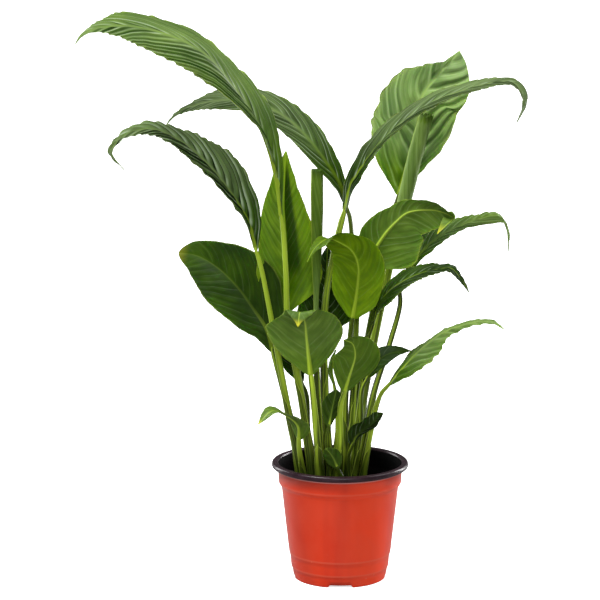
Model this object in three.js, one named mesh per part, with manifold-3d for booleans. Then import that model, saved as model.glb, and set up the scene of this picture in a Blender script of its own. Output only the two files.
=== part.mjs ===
// A peace lily growing in a plastic nursery pot.
// Millimetres, +Z up. The origin is the middle of the pot's underside, on the surface it stands on.
import * as THREE from "three";
import { mergeVertices } from "three/addons/utils/BufferGeometryUtils.js";
import Module from "manifold-3d";

const wasm = await Module();
wasm.setup();

const gap = 0.35;               // clearance between pieces that touch

// pot: a thin formed shell with a rolled rim, a collar, two shallow steps and a notched foot
const rimRadius = 65;           // outside of the rolled rim, 130 mm across
const potHeight = 113;
const rimDepth = 6;             // height of the rolled rim
const rimInnerRadius = 58.6;
const wall = 1.3;
const collarBottom = 93;
const collarRadius = 58.4;
const bodyTopRadius = 55.6;
const upperStepHeight = 25;
const upperStepRadius = 48.4;
const lowerStepHeight = 11.5;
const lowerStepRadius = 46.4;
const stepDepth = 1.2;          // how far each step comes in
const footRadius = 44;
const footInnerRadius = 36;
const padRadius = 14;           // flat pad in the middle of the underside
const arch = 3;                 // height of the raised ring between pad and foot
const potSegments = 36;

const notchCount = 4;
const notchWidth = 22;
const drainCount = 8;
const drainRadius = 4;
const drainCircle = 25;         // radius of the circle that the drain holes lie on
const drainSides = 12;

// soil
const soilTop = 85;
const soilEdgeDrop = 2;         // the surface falls a little towards the wall
const soilEdgeWidth = 8;

// plant
const bladeThickness = 1;
const bladeColumns = 4;         // quads across a blade, an even number so that the midrib is an edge
const bladeRowLength = 18;      // about this far from row to row, on blades and stalks
const stalkRowLength = 26;
const fewestRows = 6;
const mostRows = 12;
const stalkSides = 8;
const rise = 10;                // a stalk's first stretch, straight up out of the soil
const necking = 12;             // its last stretch, in line with the blade
const neckHalfWidth = 1.8;      // half width of a blade where it leaves its stalk
const tipHalfWidth = 0.7;

const green = { dark: 0x2c4a1c, mid: 0x3f6426, light: 0x64832e, stalk: 0x7b9a3c };

// Every leaf: where its stalk stands on the soil and the points it passes through, then midrib
// points from the neck to the tip.
// stalkRadii are at the soil and at the neck.
// heading is the compass direction it arches towards, seen from above, 0 = +X and 90 = +Y.
// roll turns the blade about its midrib and fold lifts each half from flat: degrees, neck to tip.
// fullest is where along the midrib the blade is widest; a higher taper gives a longer point.
const leaves = [
  {
    name: "high_left", colour: green.mid, stalkRadii: [4.2, 2.3],
    stalk: [[-26, -16], [-35, -19, 170], [-49, -28, 250], [-51, -31, 300]],
    rib: [[-55, -31, 350], [-60, -36, 389], [-68, -43, 420], [-78, -50, 444], [-98, -60, 475],
      [-123, -72, 506], [-156, -86, 525], [-189, -92, 533], [-206, -98, 533], [-221, -103, 531],
      [-231, -106, 526], [-238, -108, 516]],
    heading: 203, halfWidth: 24, fullest: 0.55, taper: 0.8,
    fold: [28, 14, -12, -10], roll: [-15, -40, -36, -30],
  },
  {
    name: "back_left", colour: green.dark, stalkRadii: [3.8, 2.2],
    stalk: [[-5, 12], [3, 17, 170], [12, 22, 258]],
    rib: [[6, 26, 352], [0, 29, 372], [-19, 37, 401], [-40, 46, 425], [-65, 56, 442],
      [-87, 65, 448], [-118, 77, 447], [-148, 87, 437], [-166, 92, 422], [-168, 94, 402]],
    heading: 157, halfWidth: 15, fullest: 0.36, taper: 0.9,
    fold: [20, 8, 0], roll: [-55, -45, -25],
  },
  {
    name: "right_arch", colour: green.dark, stalkRadii: [4.4, 3],
    stalk: [[-10, 0], [-15, 0, 185], [-14, 0, 270]],
    rib: [[3, 4, 350], [10, 3, 375], [22, 0, 396], [36, -4, 416], [56, -10, 436], [81, -19, 455],
      [109, -30, 468], [135, -40, 476], [156, -48, 476], [167, -51, 466], [159, -52, 442]],
    heading: -20, halfWidth: 18, fullest: 0.4, taper: 0.8,
    fold: [20, 6, 0], roll: [50, 22, 8],
  },
  {
    name: "low_left_arch", colour: green.dark, stalkRadii: [4, 2.1],
    stalk: [[-35, -12], [-47, -17, 155], [-60, -26, 230]],
    rib: [[-78, -38, 320], [-88, -41, 352], [-104, -48, 380], [-124, -56, 406], [-147, -65, 427],
      [-173, -75, 439], [-195, -82, 434], [-207, -85, 420], [-195, -83, 401]],
    heading: 203, halfWidth: 21, fullest: 0.33, taper: 1.1,
    fold: [42, 26, 8], roll: [-60, -45, -10],
  },
  {
    name: "tall_centre", colour: green.light, stalkRadii: [4.4, 2.4],
    stalk: [[-25, -5], [-33, -5, 150], [-42, -4, 210]],
    rib: [[-50, -4, 257], [-50, -2, 291], [-51, 1, 325], [-53, 5, 357], [-52, 9, 385], [-51, 13, 408]],
    heading: -80, halfWidth: 26, fullest: 0.42, taper: 1.3,
    fold: [30, 20, 26], roll: [0, 0],
  },
  {
    name: "broad_left", colour: green.dark, stalkRadii: [4.2, 2.6],
    stalk: [[-38, -2], [-46, -5, 150], [-55, -7, 188]],
    rib: [[-63, -8, 219], [-69, -6, 241], [-82, 0, 260], [-96, 8, 278], [-114, 20, 294],
      [-135, 35, 304], [-154, 48, 305]],
    heading: 143, halfWidth: 32, fullest: 0.48, taper: 0.7,
    fold: [14, 8], roll: [-75, -70],
  },
  {
    name: "rolled_centre", colour: green.mid, rolled: true, stalkRadii: [4.2, 2.6],
    stalk: [[-17, -11], [-21, -9, 170]],
    rib: [[-23, -6, 237], [-23, -4, 305], [-22.5, -2, 350], [-22.5, 0, 392]],
    heading: 90, halfWidth: 6, fullest: 0.75,
  },
  {
    name: "broad_right", colour: green.mid, stalkRadii: [4.2, 2.2],
    stalk: [[8, 4], [13, 3, 190]],
    rib: [[24, 5, 298], [30, 5, 311], [42, 2, 331], [52, -2, 343], [62, -7, 352], [77, -15, 356],
      [92, -24, 356], [103, -31, 351], [96, -36, 344], [88, -40, 337]],
    heading: -25, halfWidth: 25, fullest: 0.42, taper: 1,
    fold: [6, 0, -35], roll: [-80, -70, -40],
  },
  {
    name: "front", colour: green.mid, stalkRadii: [4.2, 2.6],
    stalk: [[-19, -26], [-23, -40, 155]],
    rib: [[-28, -55, 207], [-30, -57, 225], [-32, -61, 243], [-34, -70, 260], [-38, -80, 268],
      [-40, -85, 256]],
    heading: -90, halfWidth: 34, fullest: 0.5, taper: 1.5,
    fold: [10, 6], roll: [0, 0],
  },
  {
    name: "centre_right", colour: green.light, stalkRadii: [4, 2.1],
    stalk: [[3, -8], [5, -13, 180]],
    rib: [[11, -18, 253], [15, -20, 281], [16, -24, 305], [10, -30, 320], [0, -35, 328],
      [-12, -40, 333], [-24, -43, 325], [-32, -44, 311]],
    heading: -115, halfWidth: 25, fullest: 0.4, taper: 1.4,
    fold: [8, 8], roll: [0, 20],
  },
  {
    name: "high_right", colour: green.light, stalkRadii: [4.4, 2.4],
    stalk: [[4, 21], [20, 36, 185], [38, 52, 280]],
    rib: [[56, 62, 357], [65, 67, 389], [73, 70, 421], [78, 71, 452], [91, 70, 470], [113, 66, 496]],
    heading: 75, halfWidth: 40, fullest: 0.5, taper: 0.9,
    fold: [6, 6], roll: [0, 0],
  },
  {
    name: "rolled_right", colour: green.mid, rolled: true, stalkRadii: [4.4, 3.6],
    stalk: [[13, 15], [26, 24, 165], [41, 33, 235]],
    rib: [[54, 42, 300], [62, 45, 352], [71, 47, 400], [82, 49, 439]],
    heading: 90, halfWidth: 8, fullest: 0.85,
  },
  {
    name: "drooping_right", colour: green.mid, stalkRadii: [4, 2.2],
    stalk: [[19, 5], [29, 12, 172], [45, 20, 225]],
    rib: [[63, 28, 288], [76, 33, 306], [92, 39, 320], [110, 46, 329], [132, 54, 337],
      [153, 61, 340], [160, 63, 325], [162, 63, 302]],
    heading: 23, halfWidth: 15, fullest: 0.3, taper: 0.8,
    fold: [12, 0], roll: [35, 15],
  },
  {
    name: "dark_right", colour: green.dark, stalkRadii: [3.8, 2],
    stalk: [[12, -4], [18, -8, 165]],
    rib: [[30, -12, 246], [37, -15, 267], [45, -20, 280], [58, -27, 291], [74, -36, 300],
      [88, -44, 305], [101, -51, 307], [108, -55, 300], [118, -60, 285]],
    heading: -31, halfWidth: 17, fullest: 0.38, taper: 0.9,
    fold: [14, 4], roll: [42, 10],
  },
  {
    name: "low_right", colour: green.mid, stalkRadii: [3.8, 2],
    stalk: [[21, -9], [27, -18, 138]],
    rib: [[44, -32, 193], [54, -37, 207], [71, -46, 228], [91, -57, 247], [110, -67, 257],
      [127, -76, 262], [139, -82, 262], [149, -86, 256]],
    heading: -28, halfWidth: 19, fullest: 0.34, taper: 1.2,
    fold: [-14, -28, -10], roll: [40, 34, 20],
  },
  {
    name: "small_right", colour: green.dark, stalkRadii: [3, 1.7],
    stalk: [[12, -13], [19, -19, 150]],
    rib: [[25, -22, 198], [31, -23, 211], [42, -24, 220], [54, -25, 224], [66, -26, 225]],
    heading: -10, halfWidth: 11, fullest: 0.35, taper: 1.2,
    fold: [10, 10], roll: [60, 40],
  },
  {
    name: "front_right", colour: green.mid, stalkRadii: [3.8, 2.2],
    stalk: [[-3, -22], [0, -32, 140]],
    rib: [[3, -40, 187], [8, -43, 205], [14, -48, 225], [14, -55, 236], [9, -61, 240]],
    heading: -70, halfWidth: 20, fullest: 0.5, taper: 1,
    fold: [8, 8], roll: [0, 0],
  },
  {
    name: "crumpled_right", colour: green.dark, stalkRadii: [2.8, 1.7],
    stalk: [[9, -22]],
    rib: [[11, -30, 135], [14, -33, 144], [20, -36, 150], [29, -40, 158], [39, -44, 170]],
    heading: -25, halfWidth: 11, fullest: 0.45, taper: 0.8,
    fold: [20, 20], roll: [-30, -30],
  },
  {
    name: "low_left", colour: green.mid, stalkRadii: [3.6, 2.2],
    stalk: [[-33, -24]],
    rib: [[-39, -34, 141], [-40, -38, 156], [-51, -47, 168], [-64, -52, 173], [-77, -55, 161]],
    heading: -150, halfWidth: 15, fullest: 0.3, taper: 1,
    fold: [12, 12], roll: [20, -20],
  },
  {
    name: "rim_leaf", colour: green.dark, stalkRadii: [2.6, 1.6],
    stalk: [[0, -34]],
    rib: [[-2, -36, 113], [-7, -38, 125], [-14, -40, 135]],
    heading: -100, halfWidth: 9, fullest: 0.6, taper: 0.7,
    fold: [8, 8], roll: [0, 0],
  },
  {
    name: "inner_dark", colour: green.dark, stalkRadii: [2.6, 1.6],
    stalk: [[-10, -20]],
    rib: [[-11, -22, 150], [-8, -23, 168], [-4, -25, 188]],
    heading: -60, halfWidth: 8, fullest: 0.6, taper: 0.8,
    fold: [14, 14], roll: [0, 0],
  },
  {
    name: "slim_centre", colour: green.light, stalkRadii: [2.6, 1.6],
    stalk: [[-5, -12], [-3, -13, 150]],
    rib: [[-6, -15, 189], [-8, -16, 202], [-7, -17, 214], [-4, -18, 225]],
    heading: -60, halfWidth: 7, fullest: 0.45, taper: 1,
    fold: [30, 30], roll: [60, 60],
  },
  {
    name: "back_centre", colour: green.dark, stalkRadii: [3.6, 2],
    stalk: [[-14, 20], [-14, 18, 170]],
    rib: [[-14, 16, 234], [-14, 16, 260], [-13, 19, 288], [-12, 24, 315]],
    heading: 90, halfWidth: 18, fullest: 0.45, taper: 1,
    fold: [14, 14], roll: [0, 0],
  },
  {
    name: "inner_left", colour: green.dark, stalkRadii: [3, 1.8],
    stalk: [[-24, 8], [-30, 6, 140]],
    rib: [[-36, 4, 187], [-46, 4, 212], [-56, 6, 238]],
    heading: 150, halfWidth: 11, fullest: 0.5, taper: 1,
    fold: [12, 12], roll: [-60, -60],
  },
];

function polar(radius, angle, z) {
  return new THREE.Vector3(radius * Math.cos(angle), radius * Math.sin(angle), z);
}

function mergedCopy(geometry) {
  const copy = geometry.clone();
  copy.deleteAttribute("normal");
  copy.deleteAttribute("uv");
  return mergeVertices(copy, 1e-3);
}

function solidOf(geometry) {
  const merged = mergedCopy(geometry);
  return new wasm.Manifold(new wasm.Mesh({
    numProp: 3,
    vertProperties: Float32Array.from(merged.attributes.position.array),
    triVerts: Uint32Array.from(merged.index.array),
  }));
}

function geometryOf(solid) {
  const mesh = solid.getMesh();
  const geometry = new THREE.BufferGeometry();
  geometry.setAttribute("position", new THREE.BufferAttribute(mesh.vertProperties, 3));
  geometry.setIndex(new THREE.BufferAttribute(mesh.triVerts, 1));
  geometry.computeVertexNormals();
  return geometry;
}

// A profile of [radius, height] pairs spun about the Z axis.
function spun(profile) {
  const points = profile.map(([radius, z]) => new THREE.Vector2(radius, z));
  const geometry = new THREE.LatheGeometry(points, potSegments);
  return geometry.rotateX(Math.PI / 2);
}

function finish(colour, roughness) {
  return new THREE.MeshStandardMaterial({ color: colour, roughness, metalness: 0 });
}

function piece(name, geometry, material) {
  const mesh = new THREE.Mesh(geometry, material);
  mesh.name = name;
  return mesh;
}

// The outside of the pot from the pad up to the rim, then over it and down the inside.
const outerProfile = [
  [0, 0], [padRadius, 0], [padRadius + 2, arch], [footInnerRadius - 2, arch], [footInnerRadius, 0],
  [footRadius, 0], [lowerStepRadius - stepDepth, lowerStepHeight - 1],
  [lowerStepRadius, lowerStepHeight], [upperStepRadius - stepDepth, upperStepHeight - 1],
  [upperStepRadius, upperStepHeight], [bodyTopRadius, collarBottom - 2], [collarRadius, collarBottom],
  [collarRadius + 0.5, potHeight - rimDepth],
];
const rimProfile = [
  [rimRadius - 2, potHeight - rimDepth], [rimRadius, potHeight - rimDepth / 2],
  [rimRadius - 1.6, potHeight - 0.6], [rimRadius - 3.6, potHeight], [rimInnerRadius, potHeight - 1.2],
];
const innerProfile = [
  [collarRadius - wall, potHeight - rimDepth - 2], [collarRadius - wall, collarBottom + 1],
  [bodyTopRadius - wall, collarBottom - 1.4], [upperStepRadius - wall, upperStepHeight + 1],
  [lowerStepRadius - wall, lowerStepHeight + 1], [footRadius - wall, arch + wall],
];

function potGeometry() {
  const profile = [...outerProfile, ...rimProfile, ...innerProfile, [0, arch + wall]];
  let pot = solidOf(spun(profile));
  for (let i = 0; i < notchCount; i += 1) {
    const angle = -Math.PI / 2 + (i * 2 * Math.PI) / notchCount;
    const notch = new THREE.BoxGeometry(notchWidth, 2 * (footRadius - footInnerRadius) + 2, 2 * arch);
    const place = polar((footRadius + footInnerRadius) / 2, angle, 0);
    notch.rotateZ(angle - Math.PI / 2).translate(place.x, place.y, place.z);
    pot = pot.subtract(solidOf(notch));
  }
  for (let i = 0; i < drainCount; i += 1) {
    const hole = new THREE.CylinderGeometry(drainRadius, drainRadius, 8 * wall, drainSides);
    const place = polar(drainCircle, ((i + 0.5) * 2 * Math.PI) / drainCount, arch);
    hole.rotateX(Math.PI / 2).translate(place.x, place.y, place.z);
    pot = pot.subtract(solidOf(hole));
  }
  return geometryOf(pot);
}

// The soil fills the inside of the shell, a gap clear of the wall and the floor.
function soilGeometry() {
  const side = innerProfile.slice(2).reverse().map(([radius, z]) => [radius - gap, z + gap]);
  const [neckRadius, neckHeight] = innerProfile[2];
  const below = innerProfile[3];
  const share = (soilTop - soilEdgeDrop - below[1]) / (neckHeight - below[1]);
  const topRadius = below[0] + share * (neckRadius - below[0]) - gap;
  side[side.length - 1] = [topRadius, soilTop - soilEdgeDrop];
  const floor = arch + wall + gap;
  return spun([[0, floor], ...side, [topRadius - soilEdgeWidth, soilTop], [0, soilTop]]);
}

// The directions across a leaf at one point of its length, from its heading and its roll.
function leafFrame(tangent, heading, roll) {
  const angle = THREE.MathUtils.degToRad(heading);
  const side = new THREE.Vector3(-Math.sin(angle), Math.cos(angle), 0);
  side.addScaledVector(tangent, -side.dot(tangent)).normalize();
  side.applyAxisAngle(tangent, THREE.MathUtils.degToRad(roll));
  const up = new THREE.Vector3().crossVectors(tangent, side);
  return { side, up };
}

// A value that passes through the given ones, evenly spaced from t = 0 to t = 1.
function ramp(values, t) {
  const place = Math.min(t, 0.9999) * (values.length - 1);
  const from = Math.floor(place);
  return THREE.MathUtils.lerp(values[from], values[from + 1], place - from);
}

function curveThrough(points) {
  const places = points.map((point) => new THREE.Vector3(...point));
  return new THREE.CatmullRomCurve3(places, false, "centripetal");
}

function rowsAlong(curve, rowLength) {
  return THREE.MathUtils.clamp(Math.round(curve.getLength() / rowLength), fewestRows, mostRows);
}

// Half width along a blade: a quick swell from the neck, fullest at its place, then its taper.
function bladeHalfWidth(leaf, t) {
  const swell = t < leaf.fullest
    ? Math.sin((Math.PI / 2) * (t / leaf.fullest))
    : Math.cos((Math.PI / 2) * ((t - leaf.fullest) / (1 - leaf.fullest))) ** leaf.taper;
  const least = neckHalfWidth + (tipHalfWidth - neckHalfWidth) * t;
  return least + (leaf.halfWidth - least) * swell;
}

// A block with rows along the midrib and columns across it, laid along the rib curve.
function bladeGeometry(leaf) {
  const rib = curveThrough(leaf.rib);
  const rows = rowsAlong(rib, bladeRowLength);
  const geometry = new THREE.BoxGeometry(2, 1, 1, bladeColumns, 1, rows);
  const spots = geometry.attributes.position;
  for (let i = 0; i < spots.count; i += 1) {
    const across = spots.getX(i);
    const through = spots.getY(i);
    const along = spots.getZ(i) + 0.5;
    const tangent = rib.getTangentAt(along);
    const fold = THREE.MathUtils.degToRad(ramp(leaf.fold, along));
    const { side, up } = leafFrame(tangent, leaf.heading, ramp(leaf.roll, along));
    const reach = bladeHalfWidth(leaf, along);
    const spot = rib.getPointAt(along);
    spot.addScaledVector(side, across * reach * Math.cos(fold));
    spot.addScaledVector(up, Math.abs(across) * reach * Math.sin(fold) + through * bladeThickness);
    spots.setXYZ(i, spot.x, spot.y, spot.z);
  }
  return geometry;
}

// A round bar laid along a curve, with a radius that changes along it.
function barGeometry(curve, heading, rowLength, radiusAt) {
  const rows = rowsAlong(curve, rowLength);
  const geometry = new THREE.CylinderGeometry(1, 1, 1, stalkSides, rows);
  const spots = geometry.attributes.position;
  for (let i = 0; i < spots.count; i += 1) {
    const along = spots.getY(i) + 0.5;
    const tangent = curve.getTangentAt(along);
    const { side, up } = leafFrame(tangent, heading, 0);
    const radius = radiusAt(along);
    const spot = curve.getPointAt(along);
    spot.addScaledVector(side, spots.getX(i) * radius);
    spot.addScaledVector(up, -spots.getZ(i) * radius);
    spots.setXYZ(i, spot.x, spot.y, spot.z);
  }
  return geometry;
}

// A young leaf still rolled up: a slim spindle, blunt at its top.
function rolledGeometry(leaf) {
  const neckRadius = leaf.stalkRadii[1];
  const rolledRadius = (t) => {
    const swell = Math.sin((Math.PI / 2) * Math.min(1, t / leaf.fullest));
    return neckRadius + (leaf.halfWidth - neckRadius) * swell;
  };
  return barGeometry(curveThrough(leaf.rib), leaf.heading, bladeRowLength, rolledRadius);
}

function stalkGeometry(leaf) {
  const neck = new THREE.Vector3(...leaf.rib[0]);
  const leave = curveThrough(leaf.rib).getTangentAt(0);
  const end = neck.clone().addScaledVector(leave, -gap);
  const beforeEnd = neck.clone().addScaledVector(leave, -necking);
  const [[footX, footY], ...middle] = leaf.stalk;
  const curve = curveThrough([
    [footX, footY, soilTop + gap], [footX, footY, soilTop + gap + rise], ...middle,
    beforeEnd.toArray(), end.toArray(),
  ]);
  const [baseRadius, neckRadius] = leaf.stalkRadii;
  const radiusAt = (t) => THREE.MathUtils.lerp(baseRadius, neckRadius, t);
  return barGeometry(curve, leaf.heading, stalkRowLength, radiusAt);
}

function leafPieces(leaf) {
  const blade = leaf.rolled ? rolledGeometry(leaf) : bladeGeometry(leaf);
  return [
    piece(`${leaf.name}_blade`, blade, finish(leaf.colour, 0.42)),
    piece(`${leaf.name}_stalk`, stalkGeometry(leaf), finish(green.stalk, 0.45)),
  ];
}

const lily = new THREE.Group();
lily.add(piece("pot", potGeometry(), finish(0xc5412a, 0.4)));
lily.add(piece("soil", soilGeometry(), finish(0x2b1d14, 0.95)));
for (const leaf of leaves) {
  lily.add(...leafPieces(leaf));
}

export default lily;
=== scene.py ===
import math

import bmesh
import bpy
import numpy as np
from mathutils import Matrix, Vector


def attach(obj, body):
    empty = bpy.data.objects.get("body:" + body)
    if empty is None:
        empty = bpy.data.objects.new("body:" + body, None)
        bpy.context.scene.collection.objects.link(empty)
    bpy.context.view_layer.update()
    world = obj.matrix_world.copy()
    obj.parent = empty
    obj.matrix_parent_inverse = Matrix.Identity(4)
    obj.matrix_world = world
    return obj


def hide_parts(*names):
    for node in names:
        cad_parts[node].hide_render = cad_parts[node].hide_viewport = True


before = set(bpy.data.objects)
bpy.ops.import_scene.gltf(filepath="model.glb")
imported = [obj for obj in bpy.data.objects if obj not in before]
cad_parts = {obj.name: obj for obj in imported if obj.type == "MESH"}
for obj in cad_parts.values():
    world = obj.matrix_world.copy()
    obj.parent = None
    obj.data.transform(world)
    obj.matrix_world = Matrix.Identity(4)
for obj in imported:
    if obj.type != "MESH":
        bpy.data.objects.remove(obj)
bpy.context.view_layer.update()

mm = 0.001  # the tables below are in millimetres, as the part's own source is
fullTurn = 2 * math.pi


# ---- small helpers for node trees

def feed(node, feeds):  # links what is a socket and sets what is a plain value
    for place, value in feeds.items():
        if isinstance(value, bpy.types.NodeSocket):
            node.id_data.links.new(value, node.inputs[place])
        else:
            node.inputs[place].default_value = value
    return node


def addNode(tree, kind, feeds=None, **settings):
    node = tree.nodes.new(kind)
    for key, value in settings.items():
        setattr(node, key, value)
    return feed(node, feeds or {})


def treeOf(*values):  # the tree that the first socket among the values belongs to
    return next(value.id_data for value in values if isinstance(value, bpy.types.NodeSocket))


def calc(operation, *values):
    feeds = dict(enumerate(values))
    return addNode(treeOf(*values), "ShaderNodeMath", feeds, operation=operation).outputs[0]


# Sockets take the usual signs: each sign adds a math node to the socket's own tree.
signs = {"add": "ADD", "sub": "SUBTRACT", "mul": "MULTIPLY", "truediv": "DIVIDE", "pow": "POWER"}
for sign, operation in signs.items():
    setattr(bpy.types.NodeSocket, f"__{sign}__", lambda self, other, act=operation: calc(act, self, other))
    setattr(bpy.types.NodeSocket, f"__r{sign}__", lambda self, other, act=operation: calc(act, other, self))
bpy.types.NodeSocket.__abs__ = lambda self: calc("ABSOLUTE", self)
bpy.types.NodeSocket.__neg__ = lambda self: calc("MULTIPLY", self, -1.0)


def scaled(direction, distance):
    feeds = {0: direction, "Scale": distance}
    return addNode(treeOf(direction), "ShaderNodeVectorMath", feeds, operation="SCALE").outputs[0]


def moved(start, direction, distance):
    feeds = {0: start, 1: scaled(direction, distance)}
    return addNode(treeOf(start), "ShaderNodeVectorMath", feeds, operation="ADD").outputs[0]


def ease(value, low, high, start=0.0, end=1.0):  # an S-shaped ramp, held at both ends
    feeds = {"Value": value, "From Min": low, "From Max": high, "To Min": start, "To Max": end}
    return addNode(treeOf(value), "ShaderNodeMapRange", feeds, interpolation_type="SMOOTHSTEP").outputs[0]


def choose(share, first, second):  # from the first value to the second
    feeds = {0: share, 2: first, 3: second}
    return addNode(treeOf(share), "ShaderNodeMix", feeds, data_type="FLOAT").outputs[0]


def blended(share, first, second):  # the same for colours
    feeds = {0: share, 6: first, 7: second}
    return addNode(treeOf(share), "ShaderNodeMix", feeds, data_type="RGBA").outputs[2]


def parts(vector):
    return addNode(treeOf(vector), "ShaderNodeSeparateXYZ", {0: vector}).outputs[:3]


def packed(x, y, z):
    return addNode(treeOf(x, y, z), "ShaderNodeCombineXYZ", {0: x, 1: y, 2: z}).outputs[0]


def noise(place, scale, detail, **more):
    feeds = {"Vector": place, "Scale": scale, "Detail": detail, **more}
    return addNode(treeOf(place), "ShaderNodeTexNoise", feeds).outputs[0]


def roughly(x, y, seed):  # smooth random values around zero
    return (noise(packed(x, y, seed), 1.0, 1.0) - 0.5) * 2.0


def randomValue(tree, kind, feeds):
    node = addNode(tree, "FunctionNodeRandomValue", feeds, data_type=kind)
    return next(output for output in node.outputs if output.enabled)


def startTree(name, **labels):  # labels are the named inputs of each kind
    tree = bpy.data.node_groups.new(name, "GeometryNodeTree")
    for kind, names in {"Geometry": "Geometry", **labels, "Material": "Material"}.items():
        for label in names.split(", "):
            tree.interface.new_socket(label, in_out="INPUT", socket_type="NodeSocket" + kind)
    tree.interface.new_socket("Geometry", in_out="OUTPUT", socket_type="NodeSocketGeometry")
    return tree, tree.nodes.new("NodeGroupInput").outputs


def endTree(shape, material):
    tree = treeOf(shape)
    smooth = addNode(tree, "GeometryNodeSetShadeSmooth", {"Geometry": shape})
    real = addNode(tree, "GeometryNodeRealizeInstances", {"Geometry": smooth.outputs[0]})
    coated = addNode(tree, "GeometryNodeSetMaterial", {"Geometry": real.outputs[0], "Material": material})
    addNode(tree, "NodeGroupOutput", {"Geometry": coated.outputs[0]})
    return tree


def position(tree):
    return addNode(tree, "GeometryNodeInputPosition").outputs[0]


def setPosition(shape, **feeds):
    return addNode(treeOf(shape), "GeometryNodeSetPosition", {"Geometry": shape, **feeds}).outputs[0]


def closed(shape):  # joins the points that meet along the margins and seams
    feeds = {"Geometry": shape, "Distance": 2e-5}
    return addNode(treeOf(shape), "GeometryNodeMergeByDistance", feeds).outputs[0]


def joined(*shapes):
    both = addNode(treeOf(*shapes), "GeometryNodeJoinGeometry")
    for shape in shapes:
        feed(both, {0: shape})
    return both.outputs[0]


def valueAt(guide, row, value, kind):
    feeds = {"Geometry": guide, "Value": value, "Index": row}
    return addNode(treeOf(guide), "GeometryNodeSampleIndex", feeds, data_type=kind).outputs[0]


def readGuide(guide, row, name, kind="FLOAT"):  # a value that the guide line holds at one row
    named = addNode(treeOf(guide), "GeometryNodeInputNamedAttribute", {"Name": name}, data_type=kind)
    return valueAt(guide, row, named.outputs[0], kind)


def placeOnGuide(guide, row):
    centre = valueAt(guide, row, position(treeOf(guide)), "FLOAT_VECTOR")
    return [centre] + [readGuide(guide, row, name, "FLOAT_VECTOR") for name in ("side", "up")]


def remember(shape, name, value, kind="FLOAT_VECTOR"):
    feeds = {"Geometry": shape, "Name": name, "Value": value}
    node = addNode(treeOf(shape), "GeometryNodeStoreNamedAttribute", feeds, data_type=kind, domain="POINT")
    return node.outputs[0]


def gridOf(sizeX, columns, rows):  # rows run along a guide line, columns around or across it
    feeds = {"Size X": sizeX, "Size Y": 1.0, "Vertices X": columns + 1, "Vertices Y": rows + 1}
    grid = addNode(treeOf(rows), "GeometryNodeMeshGrid", feeds).outputs["Mesh"]
    across, along, _ = parts(position(treeOf(rows)))
    return grid, across, along + 0.5


# A closed skin has its two faces on one grid: across runs -2..2, the upper face where it is within -1..1
# and the lower face beyond, folded back, so both faces meet at the margins and under the middle.
def bothFaces(across):
    size = abs(across)
    return calc("PINGPONG", size, 1.0), calc("SIGN", across), calc("GREATER_THAN", size, 1.0001)


# how the blade's veins, margin and dents are spaced and shaped; steps are metres
bladeForm = {
    "crowding": 1.25, "veinBend": 0.5, "veinStart": 0.6, "veinWander": 0.55, "veinOffset": 0.21,
    "notchStep": 0.011, "scallop": 0.3, "dentStep": 0.022, "dentWidth": 0.016, "ribWidth": 0.9,
    "ribGroove": -0.12, "creaseMiddle": 0.56,
}


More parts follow.
